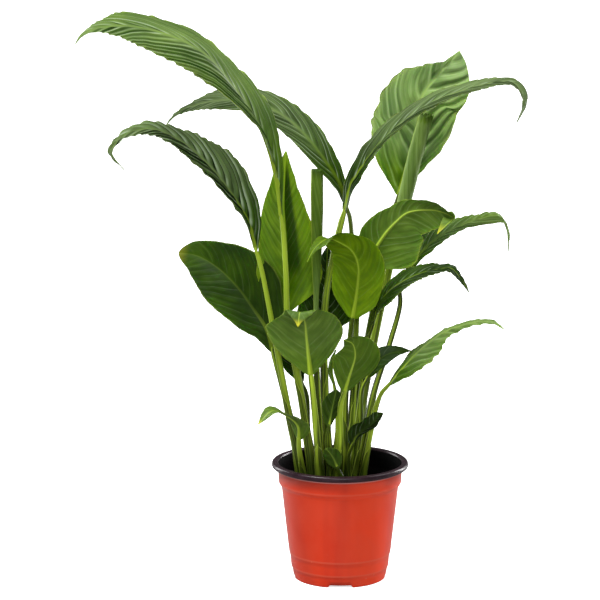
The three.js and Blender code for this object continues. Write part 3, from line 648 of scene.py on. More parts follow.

# Each leaf stands where the part's own leaf does: stalk foot and the points it passes through, then the
# midrib from neck to tip. heading, roll and fold are degrees; left and right scale each half's width
# at even steps from neck to tip.
# A leaf's tone lays painted sheen above zero and painted shade below it, besides its own lighter or darker
# green; the stalk's tone paints light and shade on the stalk; crease paints shade along a fold beside the
# midrib.
usualLeaf = {
    "slot": "leaf_mid", "fullest": 0.45, "taper": 1.0, "fold": [8, 8], "roll": [0, 0], "left": [1, 1],
    "right": [1, 1], "pleat": 0.8, "spacing": 8.0, "lean": 1.3, "curl": -4, "ruffle": 1.2, "wave": 26,
    "tone": 0.0, "yellow": 0.0, "sheath": 0.45, "thickness": 0.45, "ragged": 1.2, "ribShow": 1.0,
    "ribFoot": 1.0, "streaks": 0.3, "crumple": 1.0, "crease": 0.0,
}
leaves = {
    "high_left": dict(
        stalkTone=0.5, stalkRadii=[4.2, 2.3], stalk=[[-26, -16], [-35, -19, 170], [-49, -28, 250],
        [-51, -31, 300]],
        rib=[[-55, -31, 350], [-60, -36, 389], [-68, -43, 420], [-78, -50, 444], [-98, -60, 475],
        [-123, -72, 506], [-156, -86, 525], [-189, -92, 533], [-206, -98, 533], [-221, -103, 531],
        [-231, -106, 526], [-238, -108, 516]],
        left=[0.15, 0.15, 0.15, 0.2, 0.3, 0.5, 0.7, 0.88, 1.05, 1.2, 1.33, 1.4, 1.45, 1.38, 1.3, 1.3, 1.25,
        1.1, 0.5, 0.3, 0.3], right=[1.4, 1.5, 1.65, 1.8, 1.85, 1.75, 1.6, 1.45, 1.3, 1.2, 1.2, 1.22, 1.3,
        1.4, 1.5, 1.62, 1.75, 1.8, 1.0, 0.3, 0.3], heading=203, halfWidth=24, fullest=0.55, taper=0.8,
        fold=[28, 14, -12, -10], roll=[-15, -40, -36, -30], pleat=2.4, spacing=17, lean=3.6, ruffle=2.0,
        tone=0.32, ribShow=0.15, streaks=1.0),
    "back_left": dict(
        slot="leaf_dark", stalkTone=-0.3, stalkRadii=[3.8, 2.2], stalk=[[-5, 12], [3, 17, 170],
        [12, 22, 258]],
        rib=[[6, 26, 352], [0, 29, 372], [-19, 37, 401], [-40, 46, 425], [-65, 56, 442], [-87, 65, 448],
        [-118, 77, 447], [-148, 87, 437], [-166, 92, 422], [-168, 94, 402]],
        left=[1, 1, 1, 1, 1, 1, 1.1, 1.3, 1, 0.3, 0.3], right=[1, 1, 1, 1, 1, 1, 1.1, 1.3, 1, 0.3, 0.3],
        heading=157, halfWidth=15, fullest=0.36, taper=0.9, fold=[20, 8, 0], roll=[-55, -45, -25],
        pleat=1.8, spacing=14, lean=3.6, ruffle=1.8, tone=0.36, ribShow=0.1, ribFoot=0.2, streaks=0.55),
    "right_arch": dict(
        slot="leaf_dark", stalkTone=0.1, stalkRadii=[4.4, 3.0], stalk=[[-10, 0], [-15, 0, 185],
        [-14, 0, 270]],
        rib=[[3, 4, 350], [10, 3, 375], [22, 0, 396], [36, -4, 416], [56, -10, 436], [81, -19, 455],
        [109, -30, 468], [135, -40, 476], [155, -48, 477], [163, -51, 468], [164, -51, 456],
        [158, -52, 440]],
        left=[1.5, 1.3, 1.15, 1, 1, 1, 1, 1, 1, 1.1, 1.6], right=[1.7, 1.5, 1, 0.7, 0.65, 0.9, 1, 1, 0.9,
        0.4, 0.4], heading=-20, halfWidth=18, fullest=0.4, taper=0.8, fold=[20, 6, 0], roll=[50, 22, 8],
        pleat=2.0, spacing=14, lean=3.8, ruffle=1.4, tone=0.45, ribShow=0.15, ribFoot=0.6, streaks=0.8),
    "low_left_arch": dict(
        slot="leaf_dark", stalkTone=0.5, stalkRadii=[4.0, 2.1], stalk=[[-35, -12], [-47, -17, 155],
        [-60, -26, 230]],
        rib=[[-78, -38, 320], [-88, -41, 352], [-104, -48, 380], [-124, -56, 406], [-147, -65, 427],
        [-173, -75, 439], [-195, -82, 434], [-207, -85, 420], [-195, -83, 401]],
        left=[0.35, 0.4, 0.5, 0.62, 0.78, 0.88, 1.08, 1, 0.7, 0.4, 0.3], right=[1, 1, 1.05, 1.15, 1.1, 0.85,
        0.6, 0.55, 0.5, 0.5, 0.5], heading=203, halfWidth=21, fullest=0.33, taper=1.1, leftFold=[22, 10, 4],
        rightFold=[42, 26, 8], roll=[-60, -45, -10], pleat=2.6, spacing=14, lean=3.0, ruffle=2.6,
        ragged=2.2, tone=0.46, ribShow=0.15, ribFoot=0.7, streaks=1.3),
    "tall_centre": dict(
        slot="leaf_light", stalkTone=0.35, stalkRadii=[4.4, 2.4], stalk=[[-25, -5], [-33, -5, 150],
        [-42, -4, 210]],
        rib=[[-50, -4, 257], [-50, -2, 291], [-51, 1, 325], [-53, 5, 357], [-52, 9, 385], [-51, 13, 408]],
        left=[1.7, 2.2, 1.8, 1.35, 1.1, 1, 1, 1, 0.95, 1.1, 1.25], right=[1, 1.9, 1.5, 1.2, 1, 1, 1, 1, 1.1,
        1.6, 1.6], leftFold=[60, 56, 52, 40], rightFold=[20, 6, 6, 16], leftCurl=-60, heading=-80,
        halfWidth=26, fullest=0.42, taper=1.3, pleat=0.5, spacing=10, lean=1.8, ruffle=1.6, streaks=0.2,
        crease=1.0, ribShow=0.5, tone=0.04),
    "broad_left": dict(
        slot="leaf_dark", stalkTone=-0.1, stalkRadii=[4.2, 2.6], stalk=[[-38, -2], [-46, -5, 150],
        [-55, -7, 188]],
        rib=[[-63, -8, 219], [-69, -6, 241], [-82, 0, 260], [-96, 8, 278], [-114, 20, 294], [-135, 35, 304],
        [-154, 48, 305]],
        left=[1, 0.95, 0.9, 0.88, 0.9, 0.95, 1, 1, 1, 1, 1], right=[1, 1.25, 1.35, 1.4, 1.35, 1.22, 1.08,
        0.92, 0.8, 0.85, 0.9], ribShow=0.1, ribFoot=0.4, streaks=0.05, yellow=0.2, ruffle=3.4, heading=143,
        halfWidth=32, fullest=0.48, taper=0.7, fold=[14, 8], roll=[-75, -70], pleat=0.35, spacing=11,
        lean=1.5, tone=-0.28),
    "broad_right": dict(
        stalkRadii=[4.2, 2.2], stalk=[[8, 4], [13, 3, 190]],
        rib=[[24, 5, 298], [30, 5, 311], [42, 2, 331], [52, -2, 343], [62, -7, 352], [77, -15, 356],
        [92, -24, 356], [103, -31, 351], [96, -36, 344], [88, -40, 337]],
        left=[3.4, 2.9, 2.2, 1.6, 1.25, 1.05, 1, 1, 1, 1, 1], right=[1.6, 1.5, 1.2, 0.86, 0.62, 0.52, 0.6,
        0.82, 1.1, 1.2, 1], heading=-25, halfWidth=25, fullest=0.42, fold=[6, 0, -35], roll=[-80, -70, -40],
        streaks=0.2, tone=0.1, pleat=0.5, spacing=10, yellow=0.7),
    "front": dict(
        stalkTone=0.7, stalkRadii=[4.2, 2.6], stalk=[[-19, -26], [-23, -40, 155]],
        rib=[[-28, -55, 207], [-30, -57, 225], [-32, -61, 244], [-34, -70, 263], [-38, -80, 272],
        [-40, -85, 259]],
        right=[1, 1, 1, 1, 1, 1.05, 1.15, 1.25, 1.2, 1.1, 1], heading=-90, halfWidth=34, fullest=0.5,
        taper=1.5, fold=[10, 6], streaks=0.13, pleat=0.4, spacing=9, lean=1.0, yellow=1.0, tone=0.12),
    "centre_right": dict(
        slot="leaf_light", stalkTone=-0.2, stalkRadii=[4.0, 2.1], stalk=[[3, -8], [5, -13, 180]],
        rib=[[11, -18, 253], [15, -20, 281], [16, -24, 305], [10, -30, 320], [0, -35, 328], [-12, -40, 333],
        [-24, -43, 325], [-32, -44, 311]],
        left=[1.6, 1.6, 1.2, 1.02, 1, 1, 1, 1, 1, 1, 1], right=[1.8, 1.8, 1.4, 1.12, 1, 1, 1, 1, 1, 1, 1],
        heading=-115, halfWidth=25, fullest=0.4, taper=1.4, roll=[0, 20], tone=-0.16, streaks=0.13,
        pleat=0.4, spacing=9, lean=1.2),
    "high_right": dict(
        slot="leaf_light", stalkTone=-0.2, stalkRadii=[4.4, 2.4], stalk=[[4, 21], [20, 36, 185],
        [38, 52, 280]],
        rib=[[56, 62, 357], [65, 67, 389], [73, 70, 421], [78, 71, 452], [91, 70, 470], [113, 66, 496]],
        left=[1, 1.3, 1.25, 1.15, 1.08, 1, 0.9, 0.74, 0.5, 0.15, 0.1], right=[0.6, 0.6, 0.65, 0.73, 0.8,
        0.86, 0.94, 1.05, 1.25, 1.5, 1.6], heading=75, halfWidth=42, fullest=0.5, taper=0.7, fold=[6, 6],
        pleat=3.6, spacing=18, lean=1.5, ruffle=2.4, ragged=2.0, tone=0.55, ribShow=0.25, streaks=0.6),
    "drooping_right": dict(
        stalkTone=-0.5, stalkRadii=[4.0, 2.2], stalk=[[19, 5], [31, 12, 172], [47, 20, 222], [57, 25, 260]],
        rib=[[63, 28, 288], [76, 33, 306], [92, 39, 320], [110, 46, 329], [132, 54, 336], [152, 61, 338],
        [160, 63, 325], [162, 63, 302]],
        left=[1, 1.1, 1.1, 0.95, 0.65, 0.4, 0.5, 0.7, 0.6], right=[0.7, 0.65, 0.6, 0.6, 0.5, 1.0, 1.8, 1.2,
        0.6], heading=23, halfWidth=15, fullest=0.3, taper=0.8, fold=[12, 0], roll=[35, 15], pleat=2.0,
        spacing=10, lean=2.6, ruffle=2.4, tone=0.25, ribShow=0.05, ribFoot=0.3, streaks=0.5),
    "dark_right": dict(
        slot="leaf_dark", stalkTone=-0.9, stalkRadii=[3.8, 2.0], stalk=[[12, -4], [18, -8, 165]],
        rib=[[30, -12, 246], [37, -15, 267], [45, -20, 280], [58, -27, 291], [74, -36, 300], [88, -44, 305],
        [101, -51, 307], [108, -55, 300], [118, -60, 285]],
        left=[1, 1, 1, 1, 1, 0.9, 0.6, 0.5, 0.5], right=[1.5, 2.1, 2.7, 2.9, 2.1, 1.2, 1.3, 0.9, 0.5],
        heading=-31, halfWidth=14, fullest=0.38, taper=0.9, fold=[14, 4], roll=[42, 10], pleat=1.8,
        spacing=10, lean=2.6, ruffle=2.0, ribShow=0.4, streaks=0.5, tone=-0.2),
    "low_right": dict(
        stalkTone=0.3, stalkRadii=[3.8, 2.0], stalk=[[21, -9], [27, -18, 138]],
        rib=[[44, -32, 193], [54, -37, 207], [71, -46, 228], [91, -57, 247], [110, -67, 257],
        [127, -76, 262], [139, -82, 262], [149, -86, 256]],
        left=[3.6, 3, 2.3, 1.8, 1.5, 1.2, 1, 1, 1, 1, 1], right=[1.1, 1, 0.95, 0.95, 1.05, 0.85, 0.5, 0.42,
        0.5, 0.6, 0.6], heading=-28, halfWidth=19, fullest=0.34, taper=1.2, fold=[-14, -28, -10],
        roll=[40, 34, 20], pleat=1.8, spacing=14, lean=2.2, streaks=0.35, ruffle=3.5, ragged=2.5, tone=0.36,
        ribShow=0.3),
    "small_right": dict(
        slot="leaf_dark", stalkTone=-0.3, stalkRadii=[3.0, 1.7], stalk=[[12, -13], [19, -19, 150]],
        rib=[[25, -22, 198], [31, -23, 211], [42, -24, 220], [54, -25, 224], [66, -26, 225]],
        heading=-10, halfWidth=11, fullest=0.35, taper=1.2, fold=[10, 10], roll=[60, 40], pleat=0.3,
        ribShow=0.05, ribFoot=0.3, streaks=0.1, tone=-0.02),
    "front_right": dict(
        stalkTone=0.5, stalkRadii=[3.8, 2.2], stalk=[[-3, -22], [0, -32, 140]],
        rib=[[3, -40, 187], [8, -43, 205], [13, -48, 225], [10, -56, 238], [2, -63, 243]],
        left=[1, 1, 1.1, 1.25, 1.33, 1.28, 1.15, 1, 1], right=[1, 1, 1, 1, 1.05, 1.15, 1.2, 1, 1],
        heading=-70, halfWidth=20, fullest=0.5, streaks=0.13, pleat=0.3, spacing=9),
    "crumpled_right": dict(
        slot="leaf_dark", stalkTone=-0.3, stalkRadii=[2.8, 1.7], stalk=[[9, -22]],
        rib=[[11, -30, 135], [14, -33, 144], [20, -36, 150], [29, -40, 158], [39, -44, 170]],
        crumple=5, heading=-25, halfWidth=12, taper=0.8, fold=[20, 20], roll=[-30, -30], pleat=1.0,
        spacing=6, ruffle=4, wave=9, ragged=3, tone=-0.8, sheath=0.3, ribShow=0.0, ribFoot=0.3),
    "low_left": dict(
        stalkTone=0.8, stalkRadii=[3.6, 2.2], stalk=[[-33, -24]],
        rib=[[-39, -34, 141], [-40, -38, 156], [-51, -47, 168], [-64, -52, 173], [-77, -55, 161]],
        heading=-150, halfWidth=15, fullest=0.3, fold=[12, 12], roll=[20, -20], pleat=0.4, yellow=0.6,
        streaks=0.1, tone=0.1, sheath=0.6),
    "rim_leaf": dict(
        slot="leaf_dark", stalkTone=-0.3, stalkRadii=[2.6, 1.6], stalk=[[0, -34]],
        rib=[[-2, -36, 113], [-7, -38, 125], [-14, -40, 135]],
        heading=-100, halfWidth=9, fullest=0.6, taper=0.7, pleat=0.2, tone=-0.35, streaks=0.1, ribShow=0.3,
        sheath=0.3),
    "inner_dark": dict(
        slot="leaf_dark", stalkTone=-0.5, stalkRadii=[2.6, 1.6], stalk=[[-10, -20]],
        rib=[[-11, -22, 150], [-8, -23, 168], [-4, -25, 188]],
        heading=-60, halfWidth=11, fullest=0.6, taper=0.8, fold=[14, 14], pleat=0.3, tone=-0.2, streaks=0.1,
        ribShow=0.3),
    "slim_centre": dict(
        slot="leaf_light", stalkTone=0.2, stalkRadii=[2.6, 1.6], stalk=[[-5, -12], [-3, -13, 150]],
        rib=[[-6, -15, 189], [-8, -16, 202], [-7, -17, 214], [-4, -18, 225]],
        heading=-60, halfWidth=7, fold=[30, 30], roll=[60, 60], pleat=0.2),
    "back_centre": dict(
        slot="leaf_dark", stalkTone=-0.7, stalkRadii=[3.6, 2.0], stalk=[[-14, 20], [-14, 18, 170]],
        rib=[[-14, 16, 234], [-14, 16, 260], [-13, 19, 288], [-12, 24, 315]],
        left=[3, 2.6, 1.9, 1.35, 1.1, 1, 1, 1, 1], right=[3, 2.6, 1.9, 1.35, 1.1, 1, 1, 1, 1], heading=90,
        halfWidth=18, fold=[14, 14], tone=-0.1),
    "inner_left": dict(
        slot="leaf_dark", stalkTone=-0.4, stalkRadii=[3.0, 1.8], stalk=[[-24, 8], [-30, 6, 140]],
        rib=[[-36, 4, 187], [-46, 4, 212], [-56, 6, 238]],
        heading=150, halfWidth=11, fullest=0.5, fold=[12, 12], roll=[-60, -60], pleat=0.4, tone=-0.1),
}
rolledLeaves = {
    "rolled_centre": dict(
        stalkTone=-0.5, stalkRadii=[4.2, 2.6], stalk=[[-17, -11], [-21, -9, 170]],
        rib=[[-23, -6, 237], [-23, -4, 305], [-22.5, -2, 350], [-22.5, 0, 392]],
        heading=90, radii=[1.8, 2.4, 4.6, 5.9, 6.4, 6.2], turns=1.35, startAngle=130, ragged=0.02,
        tone=0.02),
    "rolled_right": dict(
        stalkTone=0.3, stalkRadii=[4.4, 3.6], stalk=[[13, 15], [22, 24, 165], [35, 33, 235]],
        rib=[[49, 42, 300], [60, 45, 352], [71, 47, 400], [82, 49, 439]],
        heading=90, radii=[3.6, 6.6, 7.4, 7.8, 7.6, 7.0], turns=1.35, startAngle=110, ragged=0.1,
        tone=0.24),
}
plantSizes = {
    "soilTop": 85, "gap": 0.35, "rise": 10, "necking": 12, "neckHalfWidth": 1.8, "tipHalfWidth": 0.5,
    "rowStep": 1.7, "stalkStep": 2.5, "overlap": 6, "buried": 4, "ribTip": 0.35, "ribTaper": 1.8,
    "rolledThickness": 0.5, "sheathFlare": 1.3, "sheathThickness": 0.5, "stalkTop": 0.6,
    "sheathWrap": 2.3, "groove": 0.22, "ribHeight": 0.9, "tightness": 0.35,
}
# how many faces a piece has across or around it
fineness = {"blade": 12, "bladePerMm": 0.6, "bladePerVein": 6.5, "rolled": 44, "stalk": 24}


def halfWidths(leaf, count):
    t = np.linspace(0, 1, count)
    full = leaf["fullest"]
    growing = np.sin(np.pi / 2 * np.clip(t / full, 0, 1))
    closing = np.cos(np.pi / 2 * np.clip((t - full) / (1 - full), 0, 1)) ** leaf["taper"]
    swell = np.where(t < full, growing, closing)
    least = plantSizes["neckHalfWidth"] + (plantSizes["tipHalfWidth"] - plantSizes["neckHalfWidth"]) * t
    width = (least + (leaf["halfWidth"] - least) * swell) * mm
    return width * ramp(leaf["left"], count, 0.04), width * ramp(leaf["right"], count, 0.04)


def makeBlade(name, leaf, tree, materials, seed):
    leaf = {**usualLeaf, **leaf}
    places, length = curveThrough(leaf["rib"], plantSizes["rowStep"] * mm)
    count = len(places)
    sides, ups = directionsAlong(places, leaf["heading"], ramp(leaf["roll"], count))
    left, right = halfWidths(leaf, count)
    tip = plantSizes["ribTip"]
    towardsTip = np.linspace(1, 0, count) ** plantSizes["ribTaper"]
    ribRadius = (tip + (leaf["stalkRadii"][1] - tip) * towardsTip) * mm
    guide = guideLine(name + "_leaf", places, {"side": sides, "up": ups}, {
        "leftWidth": left, "rightWidth": right, "ribRadius": ribRadius,
        "leftFold": np.radians(ramp(leaf.get("leftFold", leaf["fold"]), count)),
        "rightFold": np.radians(ramp(leaf.get("rightFold", leaf["fold"]), count))})
    widest = max(left.max(), right.max()) / mm
    forVeins = fineness["bladePerVein"] * widest * leaf["lean"] / leaf["spacing"]
    columns = fineness["blade"] + round(max(widest * fineness["bladePerMm"], forVeins))
    grown(guide, tree, {
        "Columns": columns, "Rows": count - 1, "Length": length, "Thickness": leaf["thickness"] * mm,
        "Rib Height": plantSizes["ribHeight"], "Crumple": leaf["crumple"] * mm,
        "Pleat Spacing": leaf["spacing"] * mm, "Pleat Depth": leaf["pleat"] * mm,
        "Pleat Lean": leaf["lean"], "Left Curl": math.radians(leaf.get("leftCurl", leaf["curl"])),
        "Right Curl": math.radians(leaf.get("rightCurl", leaf["curl"])),
        "Ruffle": leaf["ruffle"] * mm, "Ruffle Length": leaf["wave"] * mm, "Ragged": leaf["ragged"] * mm,
        "Seed": float(seed), "Tone": leaf["tone"], "Yellow": leaf["yellow"],
        "Rib Show": leaf["ribShow"], "Rib Foot": leaf["ribFoot"], "Streaks": leaf["streaks"],
        "Crease": leaf["crease"], "Material": materials[leaf["slot"]]})
    keepPiece(guide, name + "_blade", leaf["slot"])


def makeRolled(name, leaf, tree, material, seed):
    places, _ = curveThrough(leaf["rib"], plantSizes["rowStep"] * mm)
    count = len(places)
    sides, ups = directionsAlong(places, leaf["heading"], np.zeros(count))
    guide = guideLine(name + "_leaf", places, {"side": sides, "up": ups}, {
        "radius": ramp(leaf["radii"], count) * mm})
    grown(guide, tree, {
        "Columns": fineness["rolled"], "Rows": count - 1, "Thickness": plantSizes["rolledThickness"] * mm,
        "Turns": leaf["turns"], "Start Angle": math.radians(leaf["startAngle"]),
        "Tightness": plantSizes["tightness"], "Ragged": leaf["ragged"], "Seed": float(seed),
        "Tone": leaf["tone"], "Material": material})
    keepPiece(guide, name + "_blade", "leaf_mid")


def makeStalk(name, leaf, tree, material, seed):
    sizes = plantSizes
    ribPlaces, _ = curveThrough(leaf["rib"], 1 * mm)
    neck = Vector(ribPlaces[0]) / mm
    leave = Vector(ribPlaces[1] - ribPlaces[0]).normalized()
    (footX, footY), *middle = leaf["stalk"]
    base = sizes["soilTop"] + sizes["gap"]
    beforeEnd = neck - leave * sizes["necking"]
    end = neck + leave * sizes["overlap"]
    points = [[footX, footY, base - sizes["buried"]], [footX, footY, base + sizes["rise"]], *middle,
              list(beforeEnd), list(neck), list(end)]
    places, _ = curveThrough(points, sizes["stalkStep"] * mm)
    count = len(places)
    sides, ups = directionsAlong(places, leaf["heading"], np.zeros(count))
    radii = np.interp(np.linspace(0, 1, count), [0, 0.95, 1], [
        leaf["stalkRadii"][0], leaf["stalkRadii"][1], leaf["stalkRadii"][1] * sizes["stalkTop"]]) * mm
    guide = guideLine(name + "_stem", places, {"side": sides, "up": ups}, {"radius": radii})
    sheath = leaf.get("sheath", usualLeaf["sheath"])
    grown(guide, tree, {
        "Columns": fineness["stalk"], "Rows": count - 1, "Groove": sizes["groove"],
        "Sheath Rows": max(6, round((count - 1) * sheath)), "Sheath Wrap": sizes["sheathWrap"],
        "Sheath Flare": sizes["sheathFlare"] * mm, "Sheath Thickness": sizes["sheathThickness"] * mm,
        "Seed": float(seed), "Tone": leaf.get("stalkTone", 0.0), "Material": material})
    keepPiece(guide, name + "_stalk", "stalk")


mottle = mottleGroup()
veining = veiningGroup()
leafMaterials = {
    slot: leafMaterial(slot + "_skin", look, mottle, veining) for slot, look in leafLooks.items()}
stalkGreen = stalkMaterial(mottle)
leafBlade = bladeTree()
rolledLeaf = rolledTree()
leafStalk = stalkTree()
for seed, (name, leaf) in enumerate(leaves.items()):
    makeBlade(name, leaf, leafBlade, leafMaterials, seed)
    makeStalk(name, leaf, leafStalk, stalkGreen, seed + 40)
for seed, (name, leaf) in enumerate(rolledLeaves.items()):
    makeRolled(name, leaf, rolledLeaf, leafMaterials["leaf_mid"], seed + 80)
    makeStalk(name, leaf, leafStalk, stalkGreen, seed + 90)
print("leaves and stalks done")


# ---- pot

potSizes = {
    "rimRadius": 65, "height": 113, "rimDepth": 6, "rimInner": 58.6, "wall": 1.3, "collarBottom": 93,
    "collarRadius": 58.4, "bodyTopRadius": 55.6, "upperStepHeight": 25, "upperStepRadius": 48.4,
    "lowerStepHeight": 11.5, "lowerStepRadius": 46.4, "stepDepth": 1.2, "footRadius": 44,
    "footInnerRadius": 36, "padRadius": 14, "arch": 3, "notchCount": 4, "notchWidth": 22, "notchSlope": 2,
    "drainCount": 8, "drainRadius": 4, "drainCircle": 25, "drillDepth": 12, "segments": 192,
}


def rounded(corners, steps=4):  # (radius, height, rounding) corners to a profile with round bends
    profile = []
    for i, (r, z, bend) in enumerate(corners):
        here = Vector((r, z))
        if bend == 0 or i in (0, len(corners) - 1):
            profile.append(here)
            continue
        before = Vector(corners[i - 1][:2])
        after = Vector(corners[i + 1][:2])
        start = here + (before - here).normalized() * min(bend, (before - here).length * 0.49)
        stop = here + (after - here).normalized() * min(bend, (after - here).length * 0.49)
        for k in range(steps + 1):
            t = k / steps
            profile.append(start.lerp(here, t).lerp(here.lerp(stop, t), t))
    return profile


def turned(name, profile, segments, heightAt, slotAt):  # turns (radius, height) points round the z axis
    shape = bmesh.new()
    rings = []
    for index, (r, z) in enumerate(profile):
        if r < 0.01:
            rings.append([shape.verts.new((0, 0, z * mm))])
            continue
        angles = [fullTurn * k / segments for k in range(segments)]
        rings.append([shape.verts.new((r * mm * math.cos(angle), r * mm * math.sin(angle),
                                       heightAt(index, r, z, angle) * mm)) for angle in angles])
    for index, (below, above) in enumerate(zip(rings, rings[1:])):
        for k in range(segments):
            after = (k + 1) % segments
            quad = [ring[place % len(ring)]
                    for ring, place in ((below, k), (below, after), (above, after), (above, k))]
            shape.faces.new(list(dict.fromkeys(quad))).material_index = slotAt(index)
    bmesh.ops.recalc_face_normals(shape, faces=shape.faces)
    mesh = bpy.data.meshes.new(name)
    shape.to_mesh(mesh)
    shape.free()
    return inScene(name, mesh)


def drilled(pot, size):  # cuts the drain holes through the pot's floor
    drill = bmesh.new()
    radius = size["drainRadius"] * mm
    for k in range(size["drainCount"]):
        angle = fullTurn * (k + 0.5) / size["drainCount"]
        spot = Vector((math.cos(angle), math.sin(angle), 0)) * size["drainCircle"] * mm
        spot.z = size["arch"] * mm
        bmesh.ops.create_cone(
            drill, cap_ends=True, segments=32, radius1=radius, radius2=radius,
            depth=size["drillDepth"] * mm, matrix=Matrix.Translation(spot))
    drillMesh = bpy.data.meshes.new("drill")
    drill.to_mesh(drillMesh)
    drill.free()
    cut = pot.modifiers.new("holes", "BOOLEAN")
    cut.object = inScene("drill", drillMesh)
    cut.operation = "DIFFERENCE"
    cut.solver = "EXACT"
    depsgraph = bpy.context.evaluated_depsgraph_get()
    mesh = bpy.data.meshes.new_from_object(pot.evaluated_get(depsgraph), depsgraph=depsgraph)
    bpy.data.objects.remove(cut.object)
    pot.modifiers.clear()
    pot.data = mesh


def makePot(size, materials):
    wall, arch, height = size["wall"], size["arch"], size["height"]
    foot, footInner, pad = size["footRadius"], size["footInnerRadius"], size["padRadius"]
    lower, lowerHeight = size["lowerStepRadius"], size["lowerStepHeight"]
    upper, upperHeight = size["upperStepRadius"], size["upperStepHeight"]
    collar, collarBottom, bodyTop = size["collarRadius"], size["collarBottom"], size["bodyTopRadius"]
    rim, rimInner, rimBottom = size["rimRadius"], size["rimInner"], height - size["rimDepth"]
    outer = rounded([
        (0, 0, 0), (pad, 0, 0.4), (pad + 2, arch, 0.8), (footInner - 2, arch, 0.8), (footInner, 0, 0.6),
        (foot, 0, 1.2), (lower - size["stepDepth"], lowerHeight - 3, 1.5), (lower, lowerHeight, 1.5),
        (upper - size["stepDepth"], upperHeight - 4, 1.5), (upper, upperHeight, 2),
        (bodyTop, collarBottom - 4, 2.0), (collar, collarBottom, 1.6), (collar + 0.5, rimBottom - 0.6, 0)])
    inner = rounded([
        (collar + 0.5, rimBottom - 0.6, 0), (rim - 2.0, rimBottom + 0.1, 1.2), (rim, rimBottom + 1.6, 1.4),
        (rim - 0.4, height - 1.2, 1.0), (rim - 2.0, height, 1.0), (rim - 4.0, height - 0.7, 0.9),
        (rimInner + 0.9, height - 0.3, 0.6), (rimInner, height - 1.4, 0.7),
        (collar - wall + 0.4, rimBottom - 2, 1.5), (collar - wall, collarBottom + 1, 0.8),
        (bodyTop - wall, collarBottom - 1.6, 0.8), (upper - wall, upperHeight + 1, 0.8),
        (lower - wall, lowerHeight + 1, 0.8), (foot - wall, arch + wall, 1.5), (0, arch + wall, 0)])
    profile = outer + inner[1:]

    def heightAt(_, r, z, angle):  # the foot is raised inside each notch
        if z > arch or r < footInner - 3:
            return z
        pitch = fullTurn / size["notchCount"]
        away = abs((angle + math.pi / 2 + pitch / 2) % pitch - pitch / 2) * r
        share = (size["notchWidth"] / 2 + size["notchSlope"] / 2 - away) / size["notchSlope"]
        return max(z, min(1, max(0, share)) * (arch - 0.3))

    def slotAt(index):  # 0 outside, 1 rim, 2 inside
        if index < len(outer) - 1:
            return 0
        return 1 if (profile[index].x + profile[index + 1].x) / 2 > rimInner - 0.3 else 2

    pot = turned("nursery_pot", profile, size["segments"], heightAt, slotAt)
    pot.data.shade_smooth()
    for material in materials:
        pot.data.materials.append(material)
    drilled(pot, size)
    keepPiece(pot, "pot", "pot_plastic")


def potOutside(mottle, size):
    look = palette(
        clay=(206, 48, 8), deep=(190, 42, 8), pale=(206, 80, 54), sunned=(242, 62, 12), aged=(166, 38, 8),
        lip=(226, 176, 172), worn=(216, 112, 88))
    material, tree, shader = startMaterial("potOutside")
    patch = placed(tree, mottle, Patch_Scale=26.0, Grain_Scale=520.0)
    x, y, z = parts(ownPlace(tree))
    around = calc("ARCTAN2", y, x)
    ring = packed(calc("SINE", around) * 2.0, calc("COSINE", around) * 2.0, z * 5.0)
    streak = noise(ring, 1.8, 2.0, Roughness=0.4)
    specks = patch["Specks"] * ease(ease(z, 0.03, 0.022), 0.0, 1.0, 0.03, 0.5)
    edges = (size["upperStepHeight"] + 0.2, size["lowerStepHeight"] + 0.2, size["collarBottom"] + 0.5)
    # painted highlight: a pale line along each step edge and the collar
    rubbed = [(ease(abs(z - edge * mm), 0.0015, 0.0003, 0.0, 0.22), look["worn"]) for edge in edges]
    face = layered(
        blended(ease(streak, 0.35, 0.7), look["clay"], look["deep"]),
        # painted light on the right of the pot and painted shade on its left
        (ease(x, -0.005, 0.03, 0.0, 0.8) * ease(x, 0.05, 0.036, 0.1, 1.0), look["sunned"]),
        (ease(x, -0.005, -0.045, 0.0, 0.6), look["aged"]),
        (patch["Patches"] * 0.2, look["pale"]),
        (specks, look["worn"]),
        *rubbed,
        # painted light in a band under the collar, lifting the shade there
        (ease(abs(z - 0.0908), 0.0035, 0.001, 0.0, 0.5), look["sunned"]),
        # a pale band just under the rim: the outer layer's whitish edge with a painted highlight along it
        (ease(z, 0.1046, 0.106, 0.0, 0.7), look["lip"]))
    feed(shader, {
        "Base Color": face, "Roughness": streak * 0.14 + 0.24, "Specular IOR Level": 0.34,
        "Normal": bumped(specks, 0.15, 0.0003)})
    return material


def darkPlastic(name, mottle, **settings):
    look = palette(**settings)
    material, tree, shader = startMaterial(name)
    patch = placed(tree, mottle, Patch_Scale=look["patchScale"], Grain_Scale=look["grainScale"])
    feed(shader, {
        "Base Color": blended(patch["Patches"] * look["patchShare"], look["deep"], look["dusty"]),
        "Roughness": patch["Grain"] * 0.2 + look["roughness"], "Specular IOR Level": look["shine"],
        "Normal": bumped(patch["Grain"], look["bump"], 0.0004)})
    return material


# the inside: the inner layer's own black, taken down to near zero as painted shade inside the pot
potInside = darkPlastic(
    "potInside", mottle, deep=(1, 1, 1), dusty=(6, 3, 4), patchScale=40.0, grainScale=900.0, patchShare=1.0,
    roughness=0.6, shine=0.03, bump=0.1)
potRim = darkPlastic(
    "potRim", mottle, deep=(30, 14, 21), dusty=(52, 34, 42), patchScale=90.0, grainScale=1100.0,
    patchShare=0.6, roughness=0.2, shine=0.22, bump=0.12)
makePot(potSizes, [potOutside(mottle, potSizes), potRim, potInside])
print("pot done")


# ---- soil

soilSizes = {"top": 85, "edgeDrop": 2, "relief": 1.6, "crumbs": 1500, "rings": 26, "segments": 96,
             "sideGap": 0.2, "smallest": 0.6, "largest": 2.2, "flatness": 0.7}


